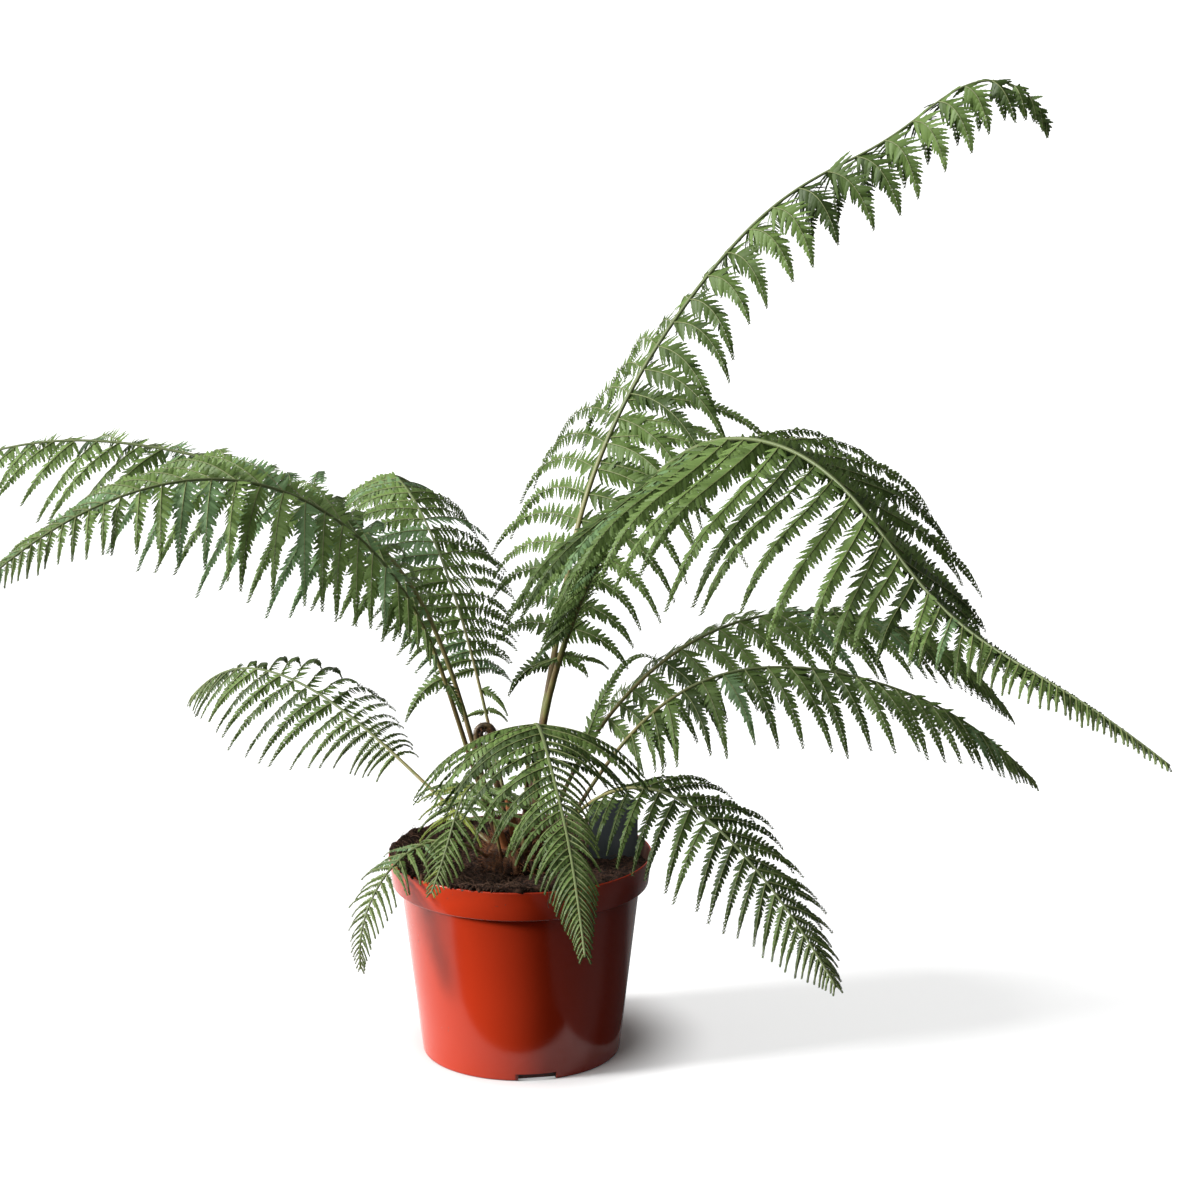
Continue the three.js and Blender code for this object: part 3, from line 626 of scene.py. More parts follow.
def crozier_path(along):
    """The middle of the stalk and coil at a share of its length, with its radius there."""
    if along < COIL_RISE_SHARE:
        share = along / COIL_RISE_SHARE
        place = dome_place(CROZIER_SEAT) * (1 - share) + CROZIER_NECK * share
        return place + np.array([CROZIER_BOW * math.sin(math.pi * share), 0, 0]), CROZIER_RADIUS
    share = (along - COIL_RISE_SHARE) / (1 - COIL_RISE_SHARE)
    turn = math.pi - 2 * math.pi * COIL_TURNS * share
    reach = COIL_OUTER_RADIUS + (COIL_INNER_RADIUS - COIL_OUTER_RADIUS) * share
    middle = CROZIER_NECK + np.array([COIL_OUTER_RADIUS, 0, COIL_LIFT])
    place = middle + reach * np.array([math.cos(turn), 0, math.sin(turn)])
    return place, CROZIER_RADIUS * (1 - COIL_THINNING * share)


def crozier_surface(around, along):
    place, radius = crozier_path(along)
    ahead = crozier_path(min(along + 0.004, 1))[0] - crozier_path(max(along - 0.004, 0))[0]
    side = np.array([0, -1, 0])
    normal = np.cross(side, ahead / np.linalg.norm(ahead))
    angle = 2 * math.pi * around
    rough = 1 + 0.10 * noise.noise(Vector(place) * 400 + Vector((2 * math.cos(angle), 0, 0)))
    groove = 1 - 0.18 * math.exp(-(((around - 0.25) / 0.07) ** 2))
    return Vector(place + radius * rough * groove * (side * math.cos(angle) + normal * math.sin(angle)))


crozier_skin = Finish("crozier_skin", CROZIER_DARK, 0.45)
young = crozier_skin.between(crozier_skin.grain(scale=170, detail=4), low=0.42, high=0.66)
crozier_skin.tint(young, CROZIER_DARK, CROZIER_LIGHT)
crozier_skin.bump(crozier_skin.grain(scale=700), strength=0.5, depth=0.4 * MM)
crozier_bm = rolled(crozier_surface, CROZIER_STATIONS, CROZIER_SIDES)
made_piece("crozier_coil", crozier_bm, [crozier_skin], "young_frond", "crozier")

crozier_hairs = []
for _ in range(CROZIER_HAIR_COUNT):
    around, along = rng.uniform(0, 1), rng.uniform(0.1, 1)
    foot = np.array(crozier_surface(around, along))
    out = foot - crozier_path(along)[0]
    crozier_hairs.append(hair_line(foot, out / np.linalg.norm(out), rng.uniform(1, 3.2) * MM))
strands("crozier_hairs", crozier_hairs, [crown_hair], "young_frond")


# Fronds. Each grows from the crown on a grooved stalk that runs on as the blade's midrib. Leaflets
# leave it in pairs, each with a fine rib of its own and two close rows of small lobed leaves.

# A row starts with the rib: its seat on the crown (degrees round it and down from its top), heading
# and swing in plan (degrees), length and foot radius (mm), bare share, and climb and roll at even keys.
# The leaflets' lengths (mm) and droop come next, tip_droop being the droop at the blade's tip, and then
# whatever differs from USUAL_FROND.
# Shades also paint light and shade: darker greens for shaded fronds, lighter ones for those lit from
# the left.
FRONDS = {
    "tall": dict(
        seat=(70, 25), heading=50, swing=-50, length=743, stem=2.6, share=0.2,
        climb=(77, 76, 77, 64, 53, 44, 25, 32, -69), roll=(-30, -20, 0, 0),
        leaflets=(60, 100, 110, 64, 62, 58, 47, 13), droop=(0.1, 0.6, 1.4), tip_droop=(0.4, 2, 3.4),
        turn=0.8, breadth=4, widest=(14, 14, 16, 22, 22, 22), spread=(1.4, 1.4, 1.3, 1.1, 1.1, 1.1),
        base=1, point=0.85, shades=(0.14, 0.31, 0.34, 0.17, 0.04, 0),
        lone=[
            (0.168, (-0.9, -0.2, -0.1), 43), (0.172, (0.8, -0.3, 0.1), 30),
            (0.43, (1, -0.35, 0.24), 140), (0.41, (1, -0.4, 0.22), 150),
            (0.39, (1, -0.4, 0.16), 146), (0.365, (1, -0.4, 0.1), 140),
        ],
    ),
    "right_arch": dict(
        seat=(-40, 42), heading=-65, swing=26, length=798, stem=2.6, share=0.22,
        climb=(91, 66, 54, 37, -2, -41, -19, -28), roll=(3, -12, 7, 22),
        leaflets=(35, 50, 165, 148, 138, 58, 27, 8), droop=(0.45, 0.35, 0.85),
        angle=95, tip_angle=58, turn=0.8, breadth=1.2, widest=11,
        spread=(1.1, 1.2, 1.4, 1.55, 1.5, 1.4), base=0.85, point=1.8,
        left=(0.55, 0.58, 0.85, 1, 1, 1, 1), lift=(0.9, 0.6, 0.22, 0, 0, 0, 0),
        shades=(0.14, 0.28, 0.32, 0.16, 0.10, 0),
        lone=[(0.195, (0.9, -0.2, 0.2), 34), (0.19, (-0.8, -0.3, 0.1), 25)],
    ),
    "left_front": dict(
        seat=(215, 48), heading=205, swing=12, length=575, stem=2, share=0.27,
        climb=(70, 70, 36, -9, -36), roll=(25, 20, 10),
        leaflets=(34, 76, 100, 94, 70, 42, 24, 6), droop=(0.2, 0.8, 1.4),
        widest=(9, 10, 12, 12, 12, 12), spread=1.5, point=1.2,
        left=(0.55, 0.68, 0.84, 0.96, 1, 1, 1, 1), lift=0.33, lifted=1,
        shades=(0, 0.04, 0.22, 0.44, 0.30, 0),
        lone=[(0.235, (-0.8, -0.2, 0), 42), (0.232, (0.5, -0.3, -0.4), 30)],
    ),
    "left_back": dict(
        seat=(165, 48), heading=168, swing=5, length=602, stem=2, share=0.28,
        climb=(76, 68, 24, 2, -28), roll=(15, 10, 5),
        leaflets=(36, 76, 104, 104, 90, 64, 40, 8), droop=(0.35, 0.7, 1.0),
        widest=12, spread=1.35, point=1.2, lift=0.2, lifted=1, shades=(0, 0.04, 0.22, 0.44, 0.30, 0),
    ),
    "back": dict(
        seat=(110, 45), heading=122, swing=-18, length=447, stem=1.3, share=0.28,
        climb=(64, 59, 36, 5, -39), roll=(0, 0),
        leaflets=(35, 60, 74, 76, 70, 58, 40, 8), droop=(0.2, 0.6, 1.1),
        breadth=1.7, spread=1.1, shades=(0.01, 0.10, 0.32, 0.40, 0.17, 0),
        lone=[
            (0.21, (0.9, -0.2, 0.2), 19), (0.205, (-0.9, -0.2, 0.3), 19),
            (0.245, (0.7, -0.3, 0.1), 30),
        ],
    ),
    "right_back": dict(
        seat=(40, 70), heading=30, swing=0, length=525, stem=1.6, share=0.2,
        climb=(69, 39, 1, -24, -51), roll=(0, 0),
        leaflets=(60, 75, 78, 76, 70, 58, 38, 8), droop=(0.35, 0.8, 1.3),
        lift=(0, 0.15, 0.4, 0.45, 0.4, 0.3), lone=[(0.13, (0.42, 0.05, 1.7), 105)],
    ),
    "right_mid": dict(
        seat=(0, 75), heading=3, swing=6, length=446, stem=1.6, share=0.24,
        climb=(62, 47, 0, -25, -47), roll=(0, 0),
        leaflets=(45, 66, 72, 72, 64, 50, 32, 8), droop=(0.35, 0.9, 1.4),
        lift=(0, 0.1, 0.3, 0.3, 0.3, 0.2),
    ),
    "left_low": dict(
        seat=(140, 75), heading=135, swing=2, length=382, stem=1.5, share=0.32,
        climb=(21, 25, 18, -4, -42), roll=(28, 28),
        leaflets=(24, 42, 68, 74, 68, 52, 34, 8), droop=(0.2, 0.6, 1.1),
        breadth=1.2, spread=1.8, point=1.4, shades=(0.30, 0.40, 0.24, 0.06, 0, 0),
    ),
    "front": dict(
        seat=(-80, 60), heading=-86, swing=4, length=500, stem=1.7, share=0.22,
        climb=(63, 40, 0, -11, -39), roll=(0, 0),
        leaflets=(75, 96, 94, 80, 58, 42, 24, 6), droop=(0.1, 0.6, 1.3),
        turn=0.15, breadth=1.1, spread=1.8, point=1.4, left=(1, 1, 0.9, 0.6, 0.5, 0.7, 0.9, 1),
        shades=(0.38, 0.42, 0.17, 0.03, 0, 0),
    ),
    "front_small": dict(
        seat=(-125, 78), heading=-112, swing=0, length=185, stem=1.1, share=0.22,
        climb=(70, 55, -45, -40), roll=(0, 0),
        leaflets=(34, 44, 46, 40, 32, 24, 15, 5), droop=(0.1, 0.3, 0.6),
        breadth=1.2, spread=1.8, shades=(0, 0.12, 0.33, 0.35, 0, 0.20),
    ),
    "left_rim": dict(
        seat=(-160, 80), heading=-150, swing=21, length=171, stem=1.1, share=0.3,
        climb=(45, 13, -29, -62, -95), roll=(0, 0),
        leaflets=(24, 32, 32, 28, 24, 18, 12, 5), droop=(0.1, 0.3, 0.6),
        breadth=1.1, spread=2.0, shades=(0, 0.08, 0.35, 0.40, 0.17, 0),
    ),
    "right_low": dict(
        seat=(-30, 77), heading=-35, swing=-16, length=327, stem=1.5, share=0.22,
        climb=(64, 28, -19, -36, -43), roll=(-20, -20),
        leaflets=(44, 62, 68, 64, 54, 42, 27, 7), droop=(0.2, 0.5, 0.9),
        breadth=1.4, spread=1.6, shades=(0.46, 0.40, 0.13, 0.01, 0, 0),
    ),
}
USUAL_FROND = dict(
    angle=82,  # degrees from rib to leaflet at the blade's foot
    tip_angle=40,  # the same at its tip
    turn=0.6,  # how far leaflets turn their faces to the light
    breadth=1.8,  # how fast rows of leaves widen with a leaflet's length
    widest=14,  # the furthest that a row reaches, mm
    spread=1.3,  # the step from pair to pair, in reaches of a row
    base=0.95,  # the share of its reach that a row has at its foot
    point=1.0,  # how late a row narrows to its tip
    left=1,  # scales the left-hand leaflets
    lift=0,  # how much the leaflets of one hand start upwards
    lifted=-1,  # that hand: 1 is right, -1 is left
    lone=[],  # single leaflets: share of the rib, direction, length in mm
    # set frond by frond, these chances paint light and shade as well as random tone
    shades=(0.06, 0.22, 0.36, 0.27, 0.09, 0),  # chances of the GREENS
)
RIB_STATIONS = 120
RIB_TIP_RADIUS = 0.6
STEM_SIDES = 12
STEM_THICKNESS = 1.18
STEM_GROOVE = 0.22
STEM_SWELLING = 0.55
STEM_SWELLING_SHARE = 0.035
LEAFLET_STEPS = 24
LEAFLET_WANDER = 0.05
LEAFLET_LEAN = 0.14
LEAFLET_RIB_RADII = (0.5 * MM, 0.12 * MM)
TAIL_HOOK = 0.6
LIGHT_SIDE = np.array([-0.4, -0.8, 0.45])
PAIR_LEAST = 4
LEAFLET_LEAST = 5
ROW_NARROWEST = 0.5
ROW_GROWTH = 0.09
LONE_WIDEST = 11
ROW_SHARE = 0.97
ROW_CROWDING = 1.12
LEAF_PITCH_SHARE = 0.37
LEAF_PITCH_LEAST = 1.5
LEAF_PITCH_MOST = 3.1
LEAF_LEAST = 0.9 * MM
LEAF_LOBED_LENGTH = 3.2 * MM
LEAF_OVERLAP = 1.25
LEAF_ANGLE = 76
LEAF_TIP_ANGLE = 50
LEAF_ANGLE_SPREAD = 4
LEAF_FOLD = 20
LEAF_FOLD_SPREAD = 8
LEAF_TILT = 10
LEAF_HOOK = 0.10
LEAF_SAG = 0.10
LEAF_ROUGHNESS = 0.5
LEAF_GLOW = 0.25
STEM_BROWN = (0.085, 0.038, 0.018)
STEM_TAN = (0.30, 0.24, 0.085)
STEM_GREEN = (0.17, 0.18, 0.055)
RIB_GREEN = (0.130, 0.165, 0.060)
LEAFLET_RIB_GREEN = (0.17, 0.20, 0.07)
GREENS = {
    "leaf_deep": (0.052, 0.088, 0.020),
    "leaf_dark": (0.082, 0.135, 0.030),
    "leaf_mid": (0.115, 0.185, 0.044),
    "leaf_fresh": (0.150, 0.235, 0.060),
    "leaf_blue": (0.150, 0.255, 0.105),
    "leaf_yellow": (0.27, 0.33, 0.050),
}
PLAIN_GREENS = 4
GREEN_CHANGE = 0.25
UP = np.array([0, 0, 1.0])


def keyed(keys, share):
    """A smooth run through evenly spaced keys, at shares from 0 to 1."""
    keys = np.asarray(keys, float)
    last = len(keys) - 1
    x = np.clip(share, 0, 1) * last
    i = np.minimum(np.floor(x).astype(int), last - 1)
    f = x - i
    a, b, c, d = (keys[np.clip(i + k, 0, last)] for k in (-1, 0, 1, 2))
    curve = (2 * a - 5 * b + 4 * c - d) * f ** 2 + (3 * b - a - 3 * c + d) * f ** 3
    return 0.5 * (2 * b + (c - a) * f + curve)


def unit(vectors):
    return vectors / np.linalg.norm(vectors, axis=-1, keepdims=True)


def rib_frames(frond, share):
    """Direction, side and upper normal of a frond's rib at shares of its length."""
    slope = np.radians(keyed(frond["climb"], share))
    heading = np.radians(frond["heading"] + frond["swing"] * share)
    roll = np.radians(keyed(frond["roll"], share))[..., None]
    flat = np.cos(slope)
    along = np.stack([flat * np.cos(heading), flat * np.sin(heading), np.sin(slope)], -1)
    level = np.stack([np.sin(heading), -np.cos(heading), 0 * heading], -1)
    side = level * np.cos(roll) + np.cross(level, along) * np.sin(roll)
    return along, side, np.cross(side, along)


def rib_of(frond):
    """Even stations along a frond's rib: share, place, direction, side, normal and radius."""
    share = np.linspace(0, 1, RIB_STATIONS + 1)
    step = frond["length"] * MM / RIB_STATIONS
    middles = rib_frames(frond, 0.5 * (share[1:] + share[:-1]))[0]
    place = dome_place(frond["seat"]) + np.vstack([np.zeros(3), np.cumsum(middles * step, 0)])
    radius = (frond["stem"] + (RIB_TIP_RADIUS - frond["stem"]) * share ** 0.6) * MM
    along, side, normal = rib_frames(frond, share)
    return dict(share=share, place=place, along=along, side=side, normal=normal, radius=radius)


def rib_at(rib, share):
    """The rib's place, direction, side, normal and radius at one share of its length."""
    found = {}
    for key in ("place", "along", "side", "normal"):
        found[key] = np.array([np.interp(share, rib["share"], rib[key][:, k]) for k in range(3)])
    found["radius"] = np.interp(share, rib["share"], rib["radius"])
    return found


def stem_surface(rib):
    """The skin of a stalk and its midrib, swollen at the foot and grooved on top, for rolled()."""

    def surface(around, along):
        spot = rib_at(rib, along)
        angle = 2 * math.pi * around
        groove = 1 - STEM_GROOVE * math.exp(-(((around - 0.25) / 0.06) ** 2))
        swelling = 1 + STEM_SWELLING * math.exp(-along / STEM_SWELLING_SHARE)
        place = Vector(spot["place"])
        ring = Vector((2.5 * math.cos(angle), 2.5 * math.sin(angle), 0))
        rough = 1 + 0.06 * noise.noise(place * 300 + ring)
        radius = STEM_THICKNESS * spot["radius"] * groove * swelling * rough
        out = spot["side"] * math.cos(angle) + spot["normal"] * math.sin(angle)
        return place + Vector(radius * out)

    return surface


stem_skin = Finish("stem_skin", STEM_TAN, 0.5)
stem_along = stem_skin.node("ShaderNodeAttribute", {}, output="Fac", attribute_name="along")
stem_grain = stem_skin.grain(scale=190, detail=4, stretch=(1, 1, 0.2))
streaks = stem_skin.between(stem_grain, low=0.42, high=0.66)
tanned = stem_skin.mix(streaks, STEM_TAN, STEM_GREEN)
greened = stem_skin.between(stem_along - 0.12 * streaks, low=0.18, high=0.42)
tanned = stem_skin.mix(greened, tanned, RIB_GREEN)
browned = stem_skin.between(stem_along + 0.16 * streaks, low=0.30, high=0.06)
stem_skin.tint(browned, tanned, STEM_BROWN)
stem_skin.bump(stem_skin.grain(scale=800), strength=0.3, depth=0.3 * MM)

# The lobed outline of one small leaf, in shares of its length and width: its edges lie below its vein
LOBE_PLACES = [0.02, 0.15, 0.27, 0.39, 0.50, 0.62, 0.72, 0.85]
LOBE_WIDTHS = [0.50, 0.54, 0.38, 0.47, 0.30, 0.37, 0.21, 0.23]
VEIN_PLACES = [0, 0.27, 0.50, 0.72, 1]
EDGE_DROP = 0.30


def leaf_template():
    """Points (along, across, over) and triangles of the lobed leaf."""
    points = [(place, 0, 0) for place in VEIN_PLACES]
    faces = []
    for hand in (1, -1):
        edge = range(len(points), len(points) + len(LOBE_PLACES))
        points += [(p, hand * w, -EDGE_DROP * w) for p, w in zip(LOBE_PLACES, LOBE_WIDTHS)]
        sides = []
        for k in range(3):
            sides += [(k, edge[2 * k], edge[2 * k + 1]), (k, edge[2 * k + 1], k + 1)]
            sides += [(edge[2 * k + 1], edge[2 * k + 2], k + 1)]
        sides += [(3, edge[6], edge[7]), (3, edge[7], 4)]
        faces += [face[::hand] for face in sides]
    return np.array(points), np.array(faces)


def plain_template():
    """The same for the smallest leaves, with no lobes."""
    points = [(0, -0.7, 0), (0, 0.7, 0), (0.55, 0.45, -0.1), (0.55, -0.45, -0.1), (1, 0.05, 0)]
    return np.array(points), np.array([(0, 2, 1), (0, 3, 2), (3, 4, 2)])


def along_blade(value, u):
    """A value at share u of the blade, where it may be one number or a list of keys."""
    return float(keyed(value, u)) if isinstance(value, tuple) else value


def leaflet_start(frond, spot, u, hand):
    """The direction in which a leaflet leaves the rib."""
    angle = math.radians(frond["angle"] + (frond["tip_angle"] - frond["angle"]) * u)
    start = spot["along"] * math.cos(angle) + spot["side"] * hand * math.sin(angle)
    if hand == frond["lifted"]:
        start = start + UP * along_blade(frond["lift"], u)
    return start


def leaflet_line(frond, spot, start, u, length):
    """A leaflet's own rib: points, directions and upper normals from the midrib to its tip."""
    start = start + rng.normal(0, LEAFLET_WANDER, 3)
    share = (np.arange(LEAFLET_STEPS) + 0.5) / LEAFLET_STEPS
    fall = keyed(frond["droop"], share)
    if "tip_droop" in frond:
        fall = fall + (keyed(frond["tip_droop"], share) - fall) * u
    fall = (fall + TAIL_HOOK * share ** 5) * rng.uniform(0.85, 1.15)
    ways = unit(start - UP * fall[:, None])
    foot = spot["place"] + unit(start) * spot["radius"] * 0.8
    points = np.vstack([foot, foot + np.cumsum(ways, 0) * length / LEAFLET_STEPS])
    ways = unit(np.vstack([ways[:1], 0.5 * (ways[1:] + ways[:-1]), ways[-1:]]))
    facing = unit(spot["normal"] * (1 - frond["turn"]) + LIGHT_SIDE * frond["turn"])
    normals = unit(facing - ways * (ways @ facing)[:, None])
    lean = rng.normal(0, LEAFLET_LEAN)
    normals = normals * math.cos(lean) + np.cross(ways, normals) * math.sin(lean)
    return points, ways, normals


def row_reach(frond, u, length):
    """How far the small leaves reach to each side of a leaflet of this length."""
    reach = frond["breadth"] * (ROW_NARROWEST + ROW_GROWTH * length)
    return min(along_blade(frond["widest"], u), reach)


def pair_places(frond):
    """Shares of the blade where leaflet pairs stand: the narrower they are, the closer."""
    blade = frond["length"] * (1 - frond["share"])
    places = [0.0]
    while places[-1] < 1:
        u = places[-1]
        length = along_blade(frond["leaflets"], u)
        wide = along_blade(frond["spread"], u) * row_reach(frond, u, length)
        places.append(u + max(wide, PAIR_LEAST) / blade)
    return places[:-1]


def leaf_row(frond, points, ways, normals, length, row_width, shade):
    """Both rows of small leaves along one leaflet: foot, axes, length, width and shade of each."""
    pitch = np.clip(LEAF_PITCH_SHARE * row_width / MM, LEAF_PITCH_LEAST, LEAF_PITCH_MOST) * MM
    count = max(int(length * ROW_SHARE / pitch), 2)
    share = (np.arange(count) + 0.6) / (count + 0.3)
    share = 1 - (1 - share) ** ROW_CROWDING
    spots = {}
    for key, run in (("foot", points), ("way", ways), ("normal", normals)):
        ends = np.linspace(0, 1, len(run))
        spots[key] = np.stack([np.interp(share, ends, run[:, k]) for k in range(3)], 1)
    widening = np.minimum(1, frond["base"] + 1.5 * share)
    narrowing = (1 - share ** frond["point"]) ** 0.85
    reach = row_width * widening * narrowing
    rows = []
    for row in (1, -1):
        front = np.cross(spots["normal"], spots["way"]) * row
        angle = LEAF_ANGLE + (LEAF_TIP_ANGLE - LEAF_ANGLE) * share
        angle = np.radians(angle + rng.normal(0, LEAF_ANGLE_SPREAD, count))[:, None]
        fold = np.radians(LEAF_FOLD + rng.normal(0, LEAF_FOLD_SPREAD, count))[:, None]
        out = spots["way"] * np.cos(angle) + front * np.sin(angle)
        out = unit(out * np.cos(fold) - spots["normal"] * np.sin(fold))
        over = unit(spots["normal"] - out * np.sum(out * spots["normal"], 1, keepdims=True))
        ahead = np.cross(over, out) * -row
        tilt = np.radians(rng.normal(0, LEAF_TILT, count))[:, None]
        tilted_over = over * np.cos(tilt) + ahead * np.sin(tilt)
        tilted_ahead = ahead * np.cos(tilt) - over * np.sin(tilt)
        leaf_length = np.maximum(reach * rng.uniform(0.9, 1.06, count), LEAF_LEAST)
        leaf_width = np.full(count, pitch * LEAF_OVERLAP)
        shifted = np.clip(shade + rng.integers(-1, 2, count), 0, PLAIN_GREENS - 1)
        changed = (rng.random(count) < GREEN_CHANGE) & (shade < PLAIN_GREENS)
        rows.append(dict(
            foot=spots["foot"], out=out, ahead=tilted_ahead, over=tilted_over,
            length=leaf_length, width=leaf_width, shade=np.where(changed, shifted, shade),
        ))
    return rows


def leaf_points(leaves, template):
    """Each leaf's own points, hooked towards the leaflet's tip and sagging at its end."""
    along, across, over = template.T
    length, width = leaves["length"][:, None], leaves["width"][:, None]
    out = (length * along)[..., None] * leaves["out"][:, None]
    ahead = (width * across + LEAF_HOOK * length * along ** 2)[..., None] * leaves["ahead"][:, None]
    rise = (width * over - LEAF_SAG * length * along ** 2)[..., None] * leaves["over"][:, None]
    return leaves["foot"][:, None] + out + ahead + rise


def leaves_mesh(leaves):
    """Points, triangles and finish numbers of all the small leaves of one frond."""
    verts, faces, shades = [], [], []
    lobed = leaves["length"] > LEAF_LOBED_LENGTH
    for chosen, (points, triangles) in ((lobed, leaf_template()), (~lobed, plain_template())):
        some = {key: value[chosen] for key, value in leaves.items()}
        some_verts, some_faces = copies(leaf_points(some, points), triangles)
        faces.append(some_faces + sum(len(v) for v in verts))
        verts.append(some_verts)
        shades.append(np.repeat(some["shade"], len(triangles)))
    return np.vstack(verts), np.vstack(faces), np.concatenate(shades)


leaf_finishes = []
for name, colour in GREENS.items():
    leaf = Finish(name, colour, LEAF_ROUGHNESS, Specular_IOR_Level=0.35)
    glow = leaf.node("ShaderNodeBsdfTranslucent", {"Color": (*colour, 1)})
    both = {0: LEAF_GLOW, 1: Value(leaf.tree, leaf.shader.outputs[0]), 2: glow}
    surface = leaf.node("ShaderNodeMixShader", both)
    leaf.tree.links.new(surface.socket, leaf.tree.nodes["Material Output"].inputs["Surface"])
    leaf_finishes.append(leaf)
leaflet_rib = Finish("leaflet_rib", LEAFLET_RIB_GREEN, LEAF_ROUGHNESS)
for name, frond in FRONDS.items():
    frond = USUAL_FROND | frond
    rib = rib_of(frond)
    rows, lines, leaflets = [], [], []
    for u in pair_places(frond):
        spot = rib_at(rib, frond["share"] + (1 - frond["share"]) * u)
        for hand in (1, -1):
            length = along_blade(frond["leaflets"], u) * rng.uniform(0.94, 1.03)
            if hand < 0:
                length = length * along_blade(frond["left"], u)
            reach = row_reach(frond, u, length)
            leaflets.append((spot, leaflet_start(frond, spot, u, hand), u, length, reach))
    for share, start, length in frond["lone"]:
        reach = min(row_reach(frond, 0, length), LONE_WIDEST)
        leaflets.append((rib_at(rib, share), np.array(start), 0, length, reach))
    for spot, start, u, length, reach in leaflets:
        if length < LEAFLET_LEAST:
            continue
        points, ways, normals = leaflet_line(frond, spot, start, u, length * MM)
        # The leaflet's green comes from its frond's chances, which paint light and shade.
        shade = rng.choice(len(GREENS), p=frond["shades"])
        rows += leaf_row(frond, points, ways, normals, length * MM, reach * MM, shade)
        lines.append((points, np.linspace(*LEAFLET_RIB_RADII, len(points))))
    leaves = {key: np.concatenate([row[key] for row in rows]) for key in rows[0]}
    blades = [f"{name}_{part}" for part in ("inner", "outer", "blade")]
    blades = [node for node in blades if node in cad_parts]
    stem_bm = rolled(stem_surface(rib), RIB_STATIONS, STEM_SIDES)
    made_piece(f"{name}_stem", stem_bm, [stem_skin], "stalk", f"{name}_stalk")
    strands(f"{name}_ribs", lines, [leaflet_rib], "frond")
    verts, faces, shades = leaves_mesh(leaves)
    joined(f"{name}_leaves", verts, faces, leaf_finishes, shades, "frond", *blades)


# Stage. A pale floor with two dark sheets on it that show only in the pot's gloss, a sun from the left,
# softer ones for the plant, its leaves and the floor, where the pot alone shades the last, and a dim
# sky that is brighter on the left. The camera stands where the photograph was taken.
CAMERA_PLACE = (57.3 * MM, -2000 * MM, 780.4 * MM)
CAMERA_PITCH = 12.615
CAMERA_LENS = 87.0
FLOOR_SIZE = 200
FLOOR_HEIGHT = -0.2 * MM
FLOOR_COLOUR = (0.9, 0.9, 0.9)
FLAG_SIZE = 5
FLAG_HEIGHT = 0.5 * MM
FLAG_EDGE = -105 * MM
FLAG_COLOUR = (0, 0, 0)
SIDE_FLAG_EDGE = 85 * MM
SIDE_FLAG_COLOUR = (0.3, 0.3, 0.3)
KEY_ENERGY = 4.2
KEY_TRAVEL = Vector((0.93, 0.26, -0.38))
KEY_ANGLE = 14
TOP_ENERGY = 1.3
TOP_TRAVEL = Vector((0.55, 0.25, -0.8))
TOP_ANGLE = 50
LEAF_ENERGY = 0.8
LEAF_TRAVEL = Vector((0.6, 0.5, -0.6))
LEAF_LIGHT_ANGLE = 40
FLOOR_ENERGY = 2.3
FLOOR_TRAVEL = Vector((0.1, 0.1, -1))
FLOOR_LIGHT_ANGLE = 25
SKY_LEFT = 0.5
SKY_RIGHT = 0.06


def stage_sheet(name, size, place, colour):
    """A level matt sheet that belongs to the studio, not to the part."""
    bm = bmesh.new()
    bmesh.ops.create_grid(bm, x_segments=1, y_segments=1, size=size)
    sheet = placed(name, mesh_of(name, bm))
    sheet.data.materials.append(Finish(name, colour, 0.9, Specular_IOR_Level=0).material)
    sheet.location = place
    sheet.visible_diffuse = False
    return sheet


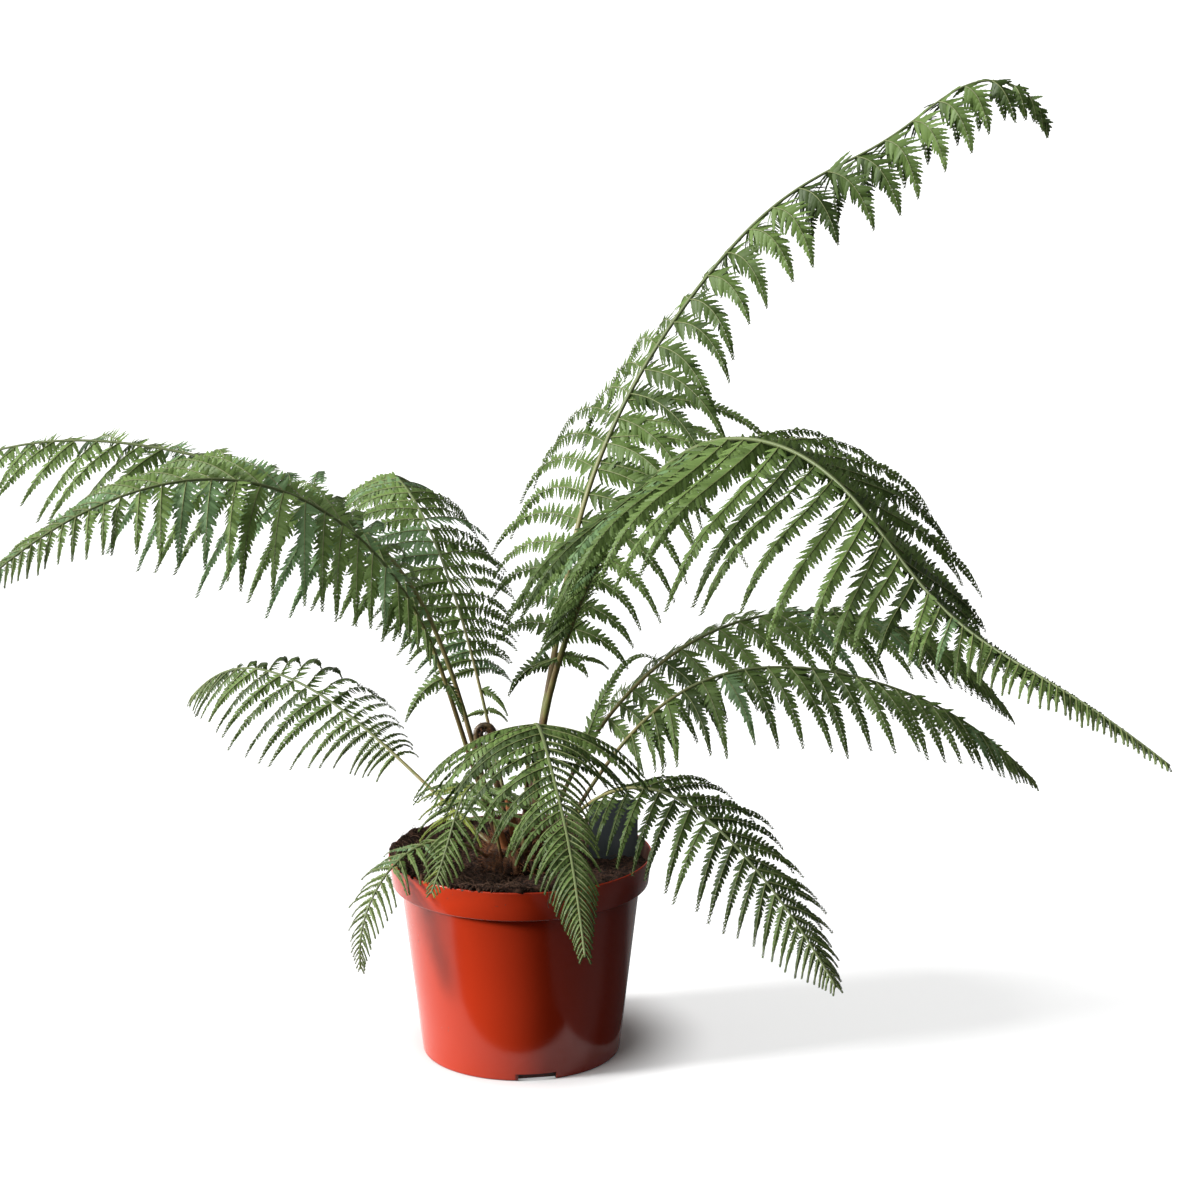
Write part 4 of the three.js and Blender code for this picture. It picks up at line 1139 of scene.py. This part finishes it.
plant = [thing for thing in bpy.context.scene.objects if thing.type == "MESH"]
floor = stage_sheet("floor", FLOOR_SIZE, (0, 0, FLOOR_HEIGHT), FLOOR_COLOUR)
flag_place = (0, FLAG_EDGE - FLAG_SIZE, FLAG_HEIGHT)
flag = stage_sheet("dark_flag", FLAG_SIZE, flag_place, FLAG_COLOUR)
side_flag_place = (SIDE_FLAG_EDGE + FLAG_SIZE, 0, FLAG_HEIGHT)
side_flag = stage_sheet("side_flag", FLAG_SIZE, side_flag_place, SIDE_FLAG_COLOUR)
for sheet in (flag, side_flag):
    sheet.visible_camera = False
    sheet.visible_shadow = False


def listed(name, things):
    group = bpy.data.collections.new(name)
    for thing in things:
        group.objects.link(thing)
    return group


def sun(name, travel, energy, angle, lit=(), shaded_by=()):
    """A distant soft light. It may fall on a few objects alone, and be held off by a few alone."""
    lamp = bpy.data.lights.new(name, "SUN")
    lamp.energy = energy
    lamp.angle = math.radians(angle)
    holder = placed(name, lamp)
    holder.rotation_euler = travel.to_track_quat("-Z", "Y").to_euler()
    if lit:
        holder.light_linking.receiver_collection = listed(name + "_lit", lit)
    if shaded_by:
        holder.light_linking.blocker_collection = listed(name + "_shade", shaded_by)


leafy = [thing for thing in plant if thing.name.endswith(("_leaves", "_ribs", "_stem"))]
sun("key_light", KEY_TRAVEL, KEY_ENERGY, KEY_ANGLE)
sun("top_light", TOP_TRAVEL, TOP_ENERGY, TOP_ANGLE, plant)
sun("leaf_light", LEAF_TRAVEL, LEAF_ENERGY, LEAF_LIGHT_ANGLE, leafy)
sun("floor_light", FLOOR_TRAVEL, FLOOR_ENERGY, FLOOR_LIGHT_ANGLE, [floor], [pot])

world = bpy.data.worlds.new("studio")
world.use_nodes = True
bpy.context.scene.world = world
sky = Value(world.node_tree)
way = sky.node("ShaderNodeTexCoord", {}, output="Generated")
across = sky.node("ShaderNodeSeparateXYZ", {0: way}, output="X")
high = sky.node("ShaderNodeSeparateXYZ", {0: way}, output="Z") > 0
light = high * (SKY_RIGHT + (SKY_LEFT - SKY_RIGHT) * (0.5 - 0.5 * across))
world.node_tree.links.new(light.socket, world.node_tree.nodes["Background"].inputs["Strength"])
world.node_tree.nodes["Background"].inputs["Color"].default_value = (1, 1, 1, 1)

lens = bpy.data.cameras.new("camera")
lens.lens = CAMERA_LENS
camera = placed("camera", lens)
camera.location = CAMERA_PLACE
camera.rotation_euler = (math.radians(90 - CAMERA_PITCH), 0, 0)
bpy.context.scene.camera = camera
bpy.context.scene.view_settings.view_transform = "Standard"
